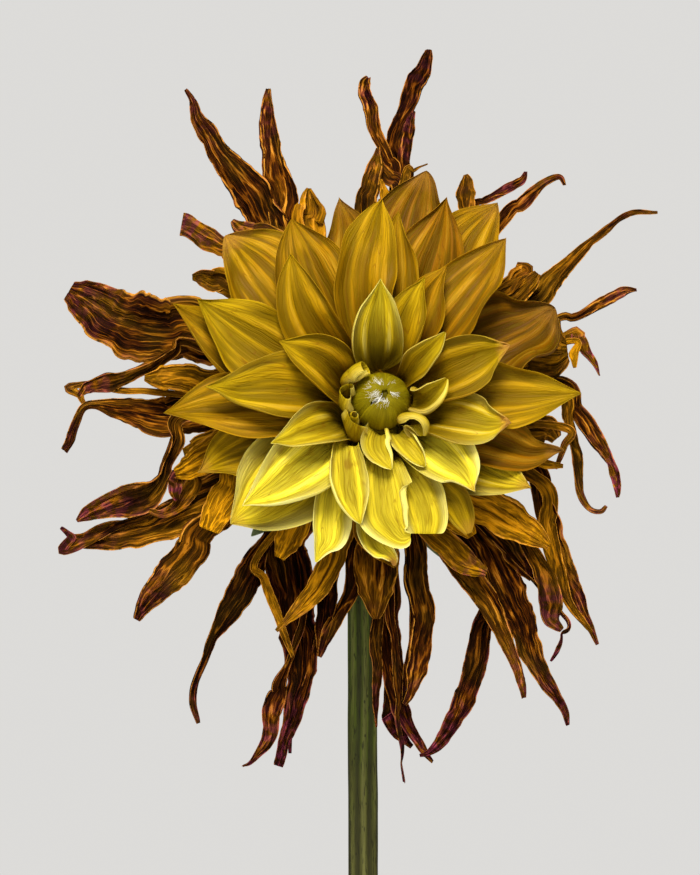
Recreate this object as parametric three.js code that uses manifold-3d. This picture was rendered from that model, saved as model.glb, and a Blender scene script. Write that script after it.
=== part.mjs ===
// A cut dahlia, half fresh and half withered, standing in a plain glass bottle vase.
// Millimetres, +Z up, front towards -Y. The origin is the middle of the vase's foot.
// One upright stem leans in the vase's neck and nods at the top, so that the bloom faces the front.
// The bloom holds, from the back: green bracts, withered florets, fresh florets and the closed bud.

import * as THREE from "three";
import { mergeVertices } from "three/addons/utils/BufferGeometryUtils.js";
import Module from "manifold-3d";

const wasm = await Module();
wasm.setup();

// Driving dimensions
const CLEARANCE = 0.3;
const VASE_HEIGHT = 156;
const VASE_SIDES = 28;
const FLOOR_THICKNESS = 9;
const WATER_LEVEL = 92;
const STEM_RADIUS = 4.75;
const FLUTE_DEPTH = 0.3;
const STEM_SIDES = 16;
const NOD_LENGTH = 24;
const STEM_FOOT_BEHIND = 9;
const PETAL_THICKNESS = 0.7;
const BRACT_THICKNESS = 0.9;

// The bloom's frame: its disc centre, and how far its face turns to the right and tips upwards
const DISC_CENTRE = new THREE.Vector3(4.1, -65, 322);
const FACE_YAW = THREE.MathUtils.degToRad(6);
const FACE_PITCH = THREE.MathUtils.degToRad(15);
const EYE_HEIGHT = 12;

// Heights along the bloom's axis, in front of the disc centre, where its layers meet
const RECEPTACLE_BACK = -26;
const RECEPTACLE_FRONT = -12;
const WITHERED_BACK = RECEPTACLE_FRONT + CLEARANCE;
const WITHERED_FRONT = -4.3;
const FRESH_BACK = WITHERED_FRONT + CLEARANCE;
const FRESH_FRONT = 3.7;
const BUD_BACK = FRESH_FRONT + CLEARANCE;
const BUD_RADIUS = 9.4;
const CORE_RADIUS = 17;

// The axis points out of the face, and right and up lie in the plane of the disc
const AXIS = new THREE.Vector3(
  Math.sin(FACE_YAW) * Math.cos(FACE_PITCH),
  -Math.cos(FACE_YAW) * Math.cos(FACE_PITCH),
  Math.sin(FACE_PITCH),
);
const RIGHT = new THREE.Vector3(Math.cos(FACE_YAW), Math.sin(FACE_YAW), 0);
const UP = new THREE.Vector3().crossVectors(AXIS, RIGHT);

// The point at (across, upward) in the disc's plane and height in front of it
function facePoint(across, upward, height) {
  return DISC_CENTRE.clone()
    .addScaledVector(RIGHT, across)
    .addScaledVector(UP, upward)
    .addScaledVector(AXIS, height);
}

const EYE = facePoint(0, 0, EYE_HEIGHT);

// The point seen x mm right of the eye and z mm above it from straight in front, at height before the disc
function seenPoint(x, z, height) {
  const upward = (EYE.z + z - DISC_CENTRE.z - height * AXIS.z) / UP.z;
  const across = (EYE.x + x - DISC_CENTRE.x - upward * UP.x - height * AXIS.x) / RIGHT.x;
  return facePoint(across, upward, height);
}

// A place on the disc in polar terms, such as where a floret roots
function rootPoint(azimuth, radius, height) {
  return facePoint(Math.cos(azimuth) * radius, Math.sin(azimuth) * radius, height);
}

// The direction from the middle of the disc in which a point lies
function azimuthOf(point) {
  const offset = point.clone().sub(DISC_CENTRE);
  return Math.atan2(offset.dot(UP), offset.dot(RIGHT));
}

const degrees = THREE.MathUtils.degToRad;

// Solids

function toSolid(geometry) {
  const bare = geometry.clone();
  bare.deleteAttribute("normal");
  bare.deleteAttribute("uv");
  const merged = mergeVertices(bare, 1e-4);
  const mesh = new wasm.Mesh({
    numProp: 3,
    vertProperties: new Float32Array(merged.attributes.position.array),
    triVerts: new Uint32Array(merged.index.array),
  });
  return new wasm.Manifold(mesh);
}

function toGeometry(solid) {
  const mesh = solid.getMesh();
  const geometry = new THREE.BufferGeometry();
  geometry.setAttribute("position", new THREE.BufferAttribute(mesh.vertProperties, mesh.numProp));
  geometry.setIndex(new THREE.BufferAttribute(mesh.triVerts, 1));
  return geometry;
}

// Joins everything to the core and keeps the one outer skin, so pockets closed in between are filled
function fuse(core, additions) {
  const joined = additions.reduce((sum, geometry) => sum.add(toSolid(geometry)), toSolid(core));
  const skins = joined.decompose();
  return skins.reduce((largest, skin) => (skin.volume() > largest.volume() ? skin : largest));
}

// A solid of revolution about the bloom's axis. The profile runs up from back to front, [radius, height]
function turnedOnAxis(profile, sides) {
  const points = profile.map(([radius, height]) => new THREE.Vector2(radius, height));
  const geometry = new THREE.LatheGeometry(points, sides);
  const frame = new THREE.Matrix4().makeBasis(UP, AXIS, RIGHT).setPosition(DISC_CENTRE);
  return geometry.applyMatrix4(frame);
}

// A solid of revolution about the vase's own axis
function turnedUpright(profile, sides) {
  const points = profile.map(([radius, height]) => new THREE.Vector2(radius, height));
  return new THREE.LatheGeometry(points, sides).rotateX(Math.PI / 2);
}

// A thin leaf-like blade along a spine, with its inner face to the front. It is widthAt(s) wide when
// flattened, cupAt(s) is half the arc it is rolled through, and turnAt(s) turns it about its length.
// s runs from 0 at the root to 1 at the tip, and the rows crowd a little towards the tip.
const ROW_CROWDING = 1.35;
const acrossStations = (columns) => Array.from({ length: columns + 1 }, (_, j) => (2 * j) / columns - 1);

function blade({ spine, widthAt, cupAt, turnAt = () => 0, rows, columns, thickness = PETAL_THICKNESS }) {
  const faces = [[], []];
  for (let row = 0; row <= rows; row++) {
    const s = 1 - Math.pow(1 - row / rows, ROW_CROWDING);
    const point = spine.getPointAt(s);
    const along = spine.getTangentAt(s);
    const inward = AXIS.clone().addScaledVector(along, -AXIS.dot(along)).normalize();
    inward.applyAxisAngle(along, turnAt(s));
    const sideways = new THREE.Vector3().crossVectors(along, inward);
    const cup = cupAt(s);
    const radius = widthAt(s) / 2 / cup;
    const stations = row === rows ? [0] : acrossStations(columns);
    for (const side of [0, 1]) {
      faces[side].push(
        stations.map((v) => {
          const normal = inward
            .clone()
            .multiplyScalar(Math.cos(v * cup))
            .addScaledVector(sideways, -Math.sin(v * cup));
          const lift = side === 0 ? thickness / 2 : -thickness / 2;
          return point
            .clone()
            .addScaledVector(sideways, radius * Math.sin(v * cup))
            .addScaledVector(inward, radius * (1 - Math.cos(v * cup)))
            .addScaledVector(normal, lift);
        }),
      );
    }
  }
  return closedShell(faces[0], faces[1]);
}

// Joins an upper and a lower grid of points, whose last row is one point, into a closed shell
function closedShell(upper, lower) {
  const positions = [];
  const triangles = [];
  const upperIds = upper.map((row) => row.map((p) => positions.push(p.x, p.y, p.z) / 3 - 1));
  const lowerIds = lower.map((row) => row.map((p) => positions.push(p.x, p.y, p.z) / 3 - 1));
  const last = upper.length - 1;
  const columns = upper[0].length - 1;
  const at = (ids, row, column) => (row === last ? ids[last][0] : ids[row][column]);
  const face = (a, b, c) => {
    if (a !== b && b !== c && a !== c) triangles.push(a, b, c);
  };
  const quad = (a, b, c, d) => {
    face(a, b, c);
    face(a, c, d);
  };
  for (let row = 0; row < last; row++) {
    for (let column = 0; column < columns; column++) {
      const corners = [
        [row, column],
        [row, column + 1],
        [row + 1, column + 1],
        [row + 1, column],
      ];
      const [a, b, c, d] = corners.map(([i, j]) => at(upperIds, i, j));
      const [e, f, g, h] = corners.map(([i, j]) => at(lowerIds, i, j));
      face(a, b, c);
      face(a, c, d);
      face(e, g, f);
      face(e, h, g);
    }
    quad(at(upperIds, row, 0), at(upperIds, row + 1, 0), at(lowerIds, row + 1, 0), at(lowerIds, row, 0));
    quad(
      at(upperIds, row, columns),
      at(lowerIds, row, columns),
      at(lowerIds, row + 1, columns),
      at(upperIds, row + 1, columns),
    );
  }
  for (let column = 0; column < columns; column++) {
    quad(upperIds[0][column], lowerIds[0][column], lowerIds[0][column + 1], upperIds[0][column + 1]);
  }
  const geometry = new THREE.BufferGeometry();
  geometry.setAttribute("position", new THREE.Float32BufferAttribute(positions, 3));
  geometry.setIndex(triangles);
  return geometry;
}

// Outlines and courses that the florets share

// A fresh floret: a narrow claw, widest past the middle, drawn to a point
function freshOutline(width) {
  return (s) => width * (0.2 * (1 - s) ** 3 + 2.98 * s * (1 - s) ** 0.7);
}

// A withered floret keeps its claw and shrinks to a strip with a drawn-out tip
function witheredOutline(width) {
  return (s) => 3.2 * (1 - s) + width * (0.3 * (1 - s) ** 3 + 1.75 * s * (1 - s) ** 0.42);
}

function directionFrom(azimuth, lean) {
  return AXIS.clone()
    .multiplyScalar(Math.cos(lean))
    .addScaledVector(RIGHT, Math.sin(lean) * Math.cos(azimuth))
    .addScaledVector(UP, Math.sin(lean) * Math.sin(azimuth));
}

// A floret's spine: it leaves the root at one lean from the axis and reaches the tip at another
const SPINE_EASE = 0.4;

function archedSpine(root, tip, azimuth, leanStart, leanEnd) {
  const reach = root.distanceTo(tip) * SPINE_EASE;
  const first = root.clone().addScaledVector(directionFrom(azimuth, leanStart), reach);
  const second = tip.clone().addScaledVector(directionFrom(azimuth, leanEnd), -reach);
  return new THREE.CubicBezierCurve3(root, first, second, tip);
}

// Fresh florets, ring by ring. Each row is seen from straight in front:
// tip right of the eye, tip above the eye, tip before the disc, flattened width, half arc in degrees.
const FRESH_RINGS = [
  // The inner ring
  {
    rows: 5,
    columns: 3,
    rootRadius: 12.6,
    rootHeight: 2,
    leanStart: 24,
    leanEnd: 78,
    florets: [
      [-3, 38, 24, 19, 46],
      [-33, 18.5, 24, 20, 52],
      [-57, 5.5, 20, 22, 50],
      [-35, -15, 22, 16, 58],
      [-10, -39, 18, 18, 56],
      [-45, -35, 16, 20, 44],
      [31.5, -28.5, 14, 18, 44],
      [41, -9.5, 17, 18, 48],
      [40.5, 18, 20, 19, 48],
      [13.5, 39.5, 20, 15, 52],
    ],
  },
  // The middle ring
  {
    rows: 5,
    columns: 3,
    rootRadius: 14.4,
    rootHeight: 0.3,
    leanStart: 46,
    leanEnd: 86,
    florets: [
      [0.5, 64, 17, 22, 34],
      [-30.5, 46.5, 19, 21, 38],
      [-59, 32.5, 15, 24, 36],
      [-70, -4, 11, 22, 34],
      [-20.5, -51, 9, 18, 36],
      [9.5, -44, 12.5, 20, 34],
      [64, 2, 12, 23, 34],
      [40.5, 51.5, 14, 23, 34],
      [20, 43.5, 16.5, 17, 40],
      [57, -15, 8, 16, 36],
    ],
  },
  // The outer ring
  {
    rows: 4,
    columns: 2,
    rootRadius: 15.8,
    rootHeight: -1.6,
    leanStart: 62,
    leanEnd: 94,
    florets: [
      [-30, 58, 9, 22, 30],
      [-67, 30.5, 8, 19, 30],
      [-65.5, -24, 4, 19, 34],
      [-48, -42, 5, 22, 32],
      [20, -41.5, 6, 23, 28],
      [47.5, -29.5, 6, 16, 34],
      [35.5, 63.5, 5, 24, 30],
      [22, 64.5, 9.5, 21, 32],
      [12.5, 73.5, 3.5, 24, 30],
      [57, 27, 5, 26, 26],
      [-12, 65, 5, 20, 30],
      [-49.5, 53, 6, 24, 30],
      [-4, -47.5, 5.5, 20, 30],
      [6, 61, 11, 18, 32],
    ],
  },
  // The turning ring
  {
    rows: 4,
    columns: 2,
    rootRadius: 16,
    rootHeight: -2.6,
    leanStart: 76,
    leanEnd: 108,
    florets: [
      [-59, -42, 0, 17, 44],
      [-34, -49.5, -0.5, 17, 54],
      [5, -53, 1, 16, 40],
      [27, -42.5, 0.5, 18, 36],
      [53.5, -47.5, -1, 20, 30],
      [60, -21, 0, 18, 34],
      [59.5, 16.5, -0.5, 20, 30],
      [51, 36, 0, 18, 50],
      [-23.5, 68.5, 0, 15, 46],
      [-59.5, 40, 1, 14, 46],
    ],
  },
];

// The smallest florets stand round the bud and roll up like cornets:
// tip right of the eye, tip above it, tip before the disc, width, half arc, root azimuth, end lean.
const CORNET_FLORETS = [
  [-10.5, 15, 18, 12, 60, 142, 26],
  [-16, 2, 17, 12, 78, 176, 26],
  [-12, -11.5, 16, 13, 78, 224, 26],
  [3.2, -22, 17, 16, 60, 270, 72],
  [13.8, -21, 15, 13, 66, 302, 68],
  [15, -11, 17, 11, 80, 326, 26],
  [20.5, 5.5, 19, 14, 70, 4, 52],
  [20.5, 22, 22, 14, 62, 46, 60],
];
const CORNET_ROOT_RADIUS = 11.6;
const CORNET_ROOT_HEIGHT = 1;
const CORNET_LEAN = 20;

// A fresh floret opens from its claw to its tip: shares of its half arc
const CUP_AT_ROOT = 1.25;
const CUP_AT_TIP = 0.75;

function freshFlorets() {
  const made = [];
  for (const ring of FRESH_RINGS) {
    for (const [x, z, lift, width, cup] of ring.florets) {
      const tip = seenPoint(x, z, lift);
      const azimuth = azimuthOf(tip);
      const root = rootPoint(azimuth, ring.rootRadius, ring.rootHeight);
      made.push(
        blade({
          spine: archedSpine(root, tip, azimuth, degrees(ring.leanStart), degrees(ring.leanEnd)),
          widthAt: freshOutline(width),
          cupAt: (s) => degrees(cup) * THREE.MathUtils.lerp(CUP_AT_ROOT, CUP_AT_TIP, s),
          rows: ring.rows,
          columns: ring.columns,
        }),
      );
    }
  }
  for (const [x, z, lift, width, cup, clock, leanEnd] of CORNET_FLORETS) {
    const azimuth = degrees(clock);
    const root = rootPoint(azimuth, CORNET_ROOT_RADIUS, CORNET_ROOT_HEIGHT);
    made.push(
      blade({
        spine: archedSpine(root, seenPoint(x, z, lift), azimuth, degrees(CORNET_LEAN), degrees(leanEnd)),
        widthAt: freshOutline(width),
        cupAt: () => degrees(cup),
        rows: 4,
        columns: 4,
      }),
    );
  }
  return made;
}

function freshCore() {
  return turnedOnAxis(
    [
      [0, FRESH_BACK],
      [CORE_RADIUS - 0.8, FRESH_BACK],
      [CORE_RADIUS, -1.8],
      [CORE_RADIUS - 3.2, 1.2],
      [CORE_RADIUS - 8.2, FRESH_FRONT],
      [0, FRESH_FRONT],
    ],
    24,
  );
}

// Withered florets. Each has its flattened width, its turn about its own length at root and tip in
// degrees, how far behind the disc it starts and ends, and its course seen from straight in front,
// as steps right of the eye and above it.
const WITHERED_FLORETS = [
  // Upper left
  [15, 20, 40, 15, 17, [-38, 59, -49, 73, -60.5, 87, -63.5, 99]],
  [14, -10, 20, 13, 20, [-32, 52, -35, 70, -36.5, 90, -36, 99]],
  [9, 0, 40, 12, 12, [-42, 42, -51, 49, -63.5, 57.5]],
  [12, 0, 0, 10, 9, [-36, 50, -46, 57]],
  // Left
  [27, -12, 10, 14, 16, [-50, 20, -79, 24, -101, 36]],
  [17, 10, 50, 11, 22, [-52, 14, -79, 10.5, -90, 9, -97.5, 4]],
  [18, -10, 70, 16, 20, [-52, -6, -78, -5, -93, -2, -99, -9, -104.5, -18]],
  [14, 60, 0, 9, 13, [-60, -9, -68, -22, -80, -30, -97.5, -38.5]],
  [21, -8, 10, 15, 18, [-48, -29, -74, -40, -90, -44, -103, -42]],
  // Lower left
  [14, 10, -20, 15, 22, [-50, -38, -67, -57, -79, -71.5]],
  [12, 30, 120, 16, 30, [-36, -44, -50, -66, -56, -79, -60.5, -93, -58, -104.5]],
  [6, 60, 60, 13, 20, [-32, -42, -35, -66, -29.5, -80.5]],
  [21, 0, 30, 20, 33, [-24, -50, -26, -71, -26, -94, -30, -107, -32.5, -118]],
  [10, 30, 80, 24, 36, [-22, -60, -30, -88, -36, -101, -44, -118]],
  [11, -30, -60, 9, 12, [-9, -46, -14, -59, -23, -68, -33.5, -74]],
  [11, -20, -10, 16, 22, [-9, -52, -14, -70, -20, -83]],
  // Below the face
  [17, 10, 0, 10, 14, [-2, -46, -1, -60, -1.5, -70]],
  [8, 40, 60, 17, 25, [0.5, -52, 0.5, -77, -0.5, -105]],
  [14, -20, 60, 20, 34, [5, -49, 6, -81, 9.5, -103, 16, -117]],
  [8, 60, 100, 15, 31, [3, -52, 4, -86, 7, -107, 6.5, -124]],
  [12, 30, -20, 14, 25, [10, -46, 15, -65, 12.5, -84, 8.5, -98]],
  // Lower right
  [12, -20, 50, 25, 32, [28, -46, 33, -66, 27, -88, 13, -114]],
  [12, 20, 60, 13, 23, [15.5, -44, 28.5, -61.5, 40, -77.5, 46, -95]],
  [17, 0, 40, 18, 30, [30, -42, 42, -62, 50, -81, 60, -105]],
  [10, 0, 0, 9, 13, [20, -42, 28, -51, 33, -57]],
  [14, 20, 70, 12, 18, [40, -42, 52.5, -58, 58, -72.5]],
  [5, 40, 90, 20, 26, [46, -50, 58, -66, 54.5, -84.5]],
  [14, -10, 40, 17, 24, [44, -26, 57.5, -52, 64, -68, 69.5, -79]],
  // Right
  [10, 30, 80, 13, 18, [50, -3, 61.5, -13, 63, -25.5, 68, -37.5, 73, -35.5]],
  [11, 20, 60, 18, 22, [54, 0, 69.5, -9.5, 76.5, -22, 76.5, -32]],
  [9, 40, 60, 14, 14, [54, 21, 66, 17, 70, 8]],
  [9, 20, 60, 17, 18, [52, 26, 65, 28.5, 75, 32, 83.5, 35]],
  [12, 50, 90, 13, 16, [45, 34, 61.5, 47, 72.5, 55.5, 79.5, 60, 89, 60]],
  // Upper right
  [9, 20, 60, 15, 16, [36, 56, 47.5, 66, 54.5, 71, 60, 68.5]],
  [9, 60, 90, 18, 20, [28, 58, 40, 68, 46.5, 73.5]],
  [9, 0, 10, 11, 10, [24, 52, 27, 62, 27, 72]],
  // Top
  [13, 10, 40, 18, 22, [6, 62, 3.5, 87, 8, 99, 15.5, 114]],
  [9, 60, 20, 14, 18, [10, 60, 8, 80, 9.5, 93]],
  [9, -20, 60, 13, 18, [3, 60, -2, 90, -6, 100, -4, 105]],
  [15, -30, 0, 10, 12, [-7, 58, -4, 71, -1, 82]],
];
const WITHERED_ROOT_RADIUS = 11;
const WITHERED_SHOULDER_RADIUS = 21;
const WITHERED_CUP_AT_ROOT = 20;
const WITHERED_CUP_AT_TIP = 65;

function witheredSpine(course, backStart, backEnd) {
  const stops = course.length / 2;
  const seen = Array.from({ length: stops }, (_, i) => {
    const back = THREE.MathUtils.lerp(backStart, backEnd, i / (stops - 1));
    return seenPoint(course[2 * i], course[2 * i + 1], -back);
  });
  const azimuth = azimuthOf(seen[0]);
  const rootHeight = THREE.MathUtils.clamp(-backStart / 2, -10.4, -5.6);
  const root = rootPoint(azimuth, WITHERED_ROOT_RADIUS, rootHeight);
  const shoulder = rootPoint(azimuth, WITHERED_SHOULDER_RADIUS, rootHeight - 1);
  return new THREE.CatmullRomCurve3([root, shoulder, ...seen], false, "catmullrom", 0.5);
}

// A withered floret stands flat in the head, has its first turn a third of the way along, and turns on
// ever faster towards the tip
function witheredTurn(turnStart, turnEnd) {
  return (s) => degrees(turnStart * Math.min(1, s * 3) + (turnEnd - turnStart) * s * s);
}

function witheredFlorets() {
  return WITHERED_FLORETS.map(([width, turnStart, turnEnd, backStart, backEnd, course]) =>
    blade({
      spine: witheredSpine(course, backStart, backEnd),
      widthAt: witheredOutline(width),
      cupAt: (s) => degrees(THREE.MathUtils.lerp(WITHERED_CUP_AT_ROOT, WITHERED_CUP_AT_TIP, s)),
      turnAt: witheredTurn(turnStart, turnEnd),
      rows: 6,
      columns: 2,
    }),
  );
}

function witheredCore() {
  return turnedOnAxis(
    [
      [0, WITHERED_BACK],
      [CORE_RADIUS - 2, WITHERED_BACK],
      [CORE_RADIUS, -10.5],
      [CORE_RADIUS, -5.5],
      [CORE_RADIUS - 0.8, WITHERED_FRONT],
      [0, WITHERED_FRONT],
    ],
    28,
  );
}

// The closed bud: a dome of unopened florets that wrap each other round a small mouth. Each floret's free
// edge stands up from the next one as a step that winds up the dome.
const BUD_MIDDLE = 10.5;
const BUD_FLORETS = 6;
const BUD_STEPS_PER_FLORET = 5;
const BUD_ROWS = 9;
const BUD_STEP = 1;
const BUD_WINDING = 0.9;
const BUD_MOUTH_DEPTH = 1.6;
const BUD_RIM = 0.44 * Math.PI;

// How far the skin stands out at a place on the dome: azimuth in turns, rise 0 at the foot, 1 at the top
function budRelief(turn, rise) {
  const phase = turn * BUD_FLORETS + rise * BUD_WINDING;
  const along = phase - Math.floor(phase);
  return BUD_STEP * (along - 0.5) * Math.sin(Math.PI * Math.min(1, rise * 1.15)) ** 0.5;
}

function bud() {
  const sides = BUD_FLORETS * BUD_STEPS_PER_FLORET;
  const positions = [];
  const triangles = [];
  const foot = Math.asin((BUD_BACK - BUD_MIDDLE) / BUD_RADIUS);
  for (let row = 0; row <= BUD_ROWS; row++) {
    const rise = row / BUD_ROWS;
    const polar = THREE.MathUtils.lerp(foot, BUD_RIM, rise);
    for (let i = 0; i < sides; i++) {
      const reach = BUD_RADIUS + budRelief(i / sides, rise);
      const height = Math.max(BUD_BACK, BUD_MIDDLE + reach * Math.sin(polar));
      const p = rootPoint((i / sides) * Math.PI * 2, reach * Math.cos(polar), height);
      positions.push(p.x, p.y, p.z);
    }
  }
  const mouth = facePoint(0, 0, BUD_MIDDLE + BUD_RADIUS - BUD_MOUTH_DEPTH);
  const base = facePoint(0, 0, BUD_BACK);
  positions.push(base.x, base.y, base.z, mouth.x, mouth.y, mouth.z);
  const last = BUD_ROWS * sides;
  for (let i = 0; i < sides; i++) {
    const next = (i + 1) % sides;
    triangles.push(last + sides, next, i, last + sides + 1, last + i, last + next);
    for (let row = 0; row < BUD_ROWS; row++) {
      const a = row * sides + i;
      const b = row * sides + next;
      triangles.push(a, b, b + sides, a, b + sides, a + sides);
    }
  }
  const geometry = new THREE.BufferGeometry();
  geometry.setAttribute("position", new THREE.Float32BufferAttribute(positions, 3));
  geometry.setIndex(triangles);
  return toSolid(geometry);
}

// The stem, its nodding neck, the receptacle and the bracts grew as one

// The foot is cut square across the leaning stem, so its centre stands a little over the vase's floor
const FOOT_LIFT = 0.8;
const STEM_FOOT = new THREE.Vector3(0, STEM_FOOT_BEHIND, FLOOR_THICKNESS + CLEARANCE + FOOT_LIFT);
const NECK_END = facePoint(0, 0, RECEPTACLE_BACK);
const NECK_OVERLAP = 4;
const NOD_HANDLE = 0.6 * NOD_LENGTH;

function stemSpine() {
  const turn = NECK_END.clone().addScaledVector(AXIS, -NOD_LENGTH);
  const rise = turn.clone().sub(STEM_FOOT).normalize();
  const start = turn.clone().addScaledVector(rise, -NOD_LENGTH);
  const spine = new THREE.CurvePath();
  spine.add(new THREE.LineCurve3(STEM_FOOT, start));
  const firstControl = start.clone().addScaledVector(rise, NOD_HANDLE);
  const secondControl = NECK_END.clone().addScaledVector(AXIS, -NOD_HANDLE);
  const neckTip = NECK_END.clone().addScaledVector(AXIS, NECK_OVERLAP);
  spine.add(new THREE.CubicBezierCurve3(start, firstControl, secondControl, NECK_END));
  spine.add(new THREE.LineCurve3(NECK_END, neckTip));
  return spine;
}

// Stations crowd into the bend, where the spine turns
function stemStations() {
  const straight = [0, 0.2, 0.4, 0.6, 0.8];
  const bend = Array.from({ length: 8 }, (_, i) => 0.825 + 0.025 * i);
  return [...straight, ...bend];
}

// A tube with lengthwise flutes, swept by carrying one sideways direction along the spine
function flutedTube(spine, stations, radius, flute, sides) {
  const positions = [];
  const triangles = [];
  stations.forEach((s) => {
    const point = spine.getPointAt(s);
    const along = spine.getTangentAt(s);
    const sideways = RIGHT.clone().addScaledVector(along, -RIGHT.dot(along)).normalize();
    const across = new THREE.Vector3().crossVectors(along, sideways);
    for (let i = 0; i < sides; i++) {
      const angle = (i / sides) * Math.PI * 2;
      const reach = radius + (i % 2 ? -flute / 2 : flute / 2);
      const p = point
        .clone()
        .addScaledVector(sideways, Math.cos(angle) * reach)
        .addScaledVector(across, Math.sin(angle) * reach);
      positions.push(p.x, p.y, p.z);
    }
  });
  const first = positions.length / 3;
  for (const s of [stations[0], stations[stations.length - 1]]) {
    const p = spine.getPointAt(s);
    positions.push(p.x, p.y, p.z);
  }
  const rings = stations.length - 1;
  for (let ring = 0; ring < rings; ring++) {
    for (let i = 0; i < sides; i++) {
      const a = ring * sides + i;
      const b = ring * sides + ((i + 1) % sides);
      triangles.push(a, b, b + sides, a, b + sides, a + sides);
    }
  }
  for (let i = 0; i < sides; i++) {
    const next = (i + 1) % sides;
    triangles.push(first, next, i);
    triangles.push(first + 1, rings * sides + i, rings * sides + next);
  }
  const geometry = new THREE.BufferGeometry();
  geometry.setAttribute("position", new THREE.Float32BufferAttribute(positions, 3));
  geometry.setIndex(triangles);
  return geometry;
}

function receptacle() {
  return turnedOnAxis(
    [
      [0, RECEPTACLE_BACK - 2],
      [STEM_RADIUS + 0.4, RECEPTACLE_BACK - 1],
      [STEM_RADIUS + 2.2, RECEPTACLE_BACK + 3],
      [11, RECEPTACLE_BACK + 8],
      [14.4, RECEPTACLE_FRONT - 2],
      [14.8, RECEPTACLE_FRONT],
      [0, RECEPTACLE_FRONT],
    ],
    24,
  );
}

// Outer bracts bend back like small leaves. Seen from straight in front, each row is:
// tip right of the eye, tip above the eye, tip behind the disc, width.
const OUTER_BRACTS = [
  [-42, -44, 27, 12],
  [21, -52, 29, 13],
  [-10, -34, 40, 12],
  [38, 8, 36, 13],
  [4, 40, 38, 12],
  [-34, 16, 36, 13],
];
// Inner bracts lie close under the withered florets
const INNER_BRACTS = { count: 8, radius: 26, width: 11, firstClock: 12 };

function bracts() {
  const outer = OUTER_BRACTS.map(([x, z, back, width]) => {
    const tip = seenPoint(x, z, -back);
    const azimuth = azimuthOf(tip);
    const root = rootPoint(azimuth, 8, RECEPTACLE_BACK + 7);
    return blade({
      spine: archedSpine(root, tip, azimuth, degrees(86), degrees(112)),
      widthAt: freshOutline(width),
      cupAt: () => degrees(22),
      rows: 5,
      columns: 2,
      thickness: BRACT_THICKNESS,
    });
  });
  const inner = Array.from({ length: INNER_BRACTS.count }, (_, i) => {
    const azimuth = degrees((360 / INNER_BRACTS.count) * i + INNER_BRACTS.firstClock);
    const root = rootPoint(azimuth, 10.5, RECEPTACLE_FRONT - 4);
    const tip = rootPoint(azimuth, INNER_BRACTS.radius, RECEPTACLE_FRONT - 4.5);
    return blade({
      spine: archedSpine(root, tip, azimuth, degrees(80), degrees(84)),
      widthAt: freshOutline(INNER_BRACTS.width),
      cupAt: () => degrees(18),
      rows: 3,
      columns: 2,
    });
  });
  return [...outer, ...inner];
}

function stem() {
  const tube = flutedTube(stemSpine(), stemStations(), STEM_RADIUS, FLUTE_DEPTH, STEM_SIDES);
  return fuse(tube, [receptacle(), ...bracts()]);
}

// The vase and its water. Each outline runs along the glass, [radius, height]

const VASE_OUTSIDE = [
  [33, 0],
  [36.5, 2.5],
  [40, 15],
  [42, 38],
  [39.5, 62],
  [30, 88],
  [17.5, 109],
  [11.8, 126],
  [10.4, 141],
  [11.4, 151],
  [13.6, VASE_HEIGHT],
];
const VASE_INSIDE = [
  [11.8, VASE_HEIGHT],
  [9, 150],
  [7.7, 141],
  [8.9, 126],
  [14.2, 109],
  [26.6, 88],
  [36.6, 62],
  [39, 38],
  [36.6, 17],
  [30, FLOOR_THICKNESS],
];

function vase() {
  return turnedUpright([[0, 0], ...VASE_OUTSIDE, ...VASE_INSIDE, [0, FLOOR_THICKNESS]], VASE_SIDES);
}

// The radius inside the vase at a height between its profile's points
function insideRadius(height) {
  const above = VASE_INSIDE.findLastIndex(([, level]) => level >= height);
  const [upperRadius, upper] = VASE_INSIDE[above];
  const [lowerRadius, lower] = VASE_INSIDE[above + 1];
  return THREE.MathUtils.mapLinear(height, lower, upper, lowerRadius, upperRadius);
}

// The water keeps clear of the glass and has a plain hole for the stem
const WATER_GAP = CLEARANCE * 1.3;

function water() {
  const walls = VASE_INSIDE.filter(([, level]) => level < WATER_LEVEL && level > FLOOR_THICKNESS)
    .reverse()
    .map(([radius, level]) => [radius - WATER_GAP, level]);
  const floorLevel = FLOOR_THICKNESS + CLEARANCE;
  const body = turnedUpright(
    [
      [0, floorLevel],
      [insideRadius(floorLevel) - 2 * WATER_GAP, floorLevel],
      ...walls,
      [insideRadius(WATER_LEVEL) - WATER_GAP, WATER_LEVEL],
      [0, WATER_LEVEL],
    ],
    VASE_SIDES,
  );
  const spine = stemSpine();
  const [foot, waist] = [spine.getPointAt(0), spine.getPointAt(0.5)];
  const course = new THREE.LineCurve3(foot.clone().lerp(waist, -0.1), waist);
  const holeRadius = STEM_RADIUS + FLUTE_DEPTH + CLEARANCE;
  const hole = flutedTube(course, [0, 1], holeRadius, 0, STEM_SIDES);
  return toSolid(body).subtract(toSolid(hole));
}

// The finished object

function piece(name, solid, color, roughness, more = {}) {
  const material = new THREE.MeshStandardMaterial({ color, roughness, metalness: 0, ...more });
  const mesh = new THREE.Mesh(toGeometry(solid), material);
  mesh.name = name;
  return mesh;
}

const dahlia = new THREE.Group();
dahlia.add(
  piece("vase", toSolid(vase()), 0xdfe9e6, 0.05, { transparent: true, opacity: 0.35 }),
  piece("water", water(), 0xd5e4dc, 0.02, { transparent: true, opacity: 0.3 }),
  piece("stem", stem(), 0x6b7a3a, 0.6),
  piece("withered_florets", fuse(witheredCore(), witheredFlorets()), 0x8a4a12, 0.75),
  piece("fresh_florets", fuse(freshCore(), freshFlorets()), 0xd9b418, 0.55),
  piece("bud", bud(), 0x8a8c1e, 0.5),
);

export default dahlia;
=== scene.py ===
"""A half-withered dahlia in a plain glass bottle vase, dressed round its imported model."""

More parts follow.
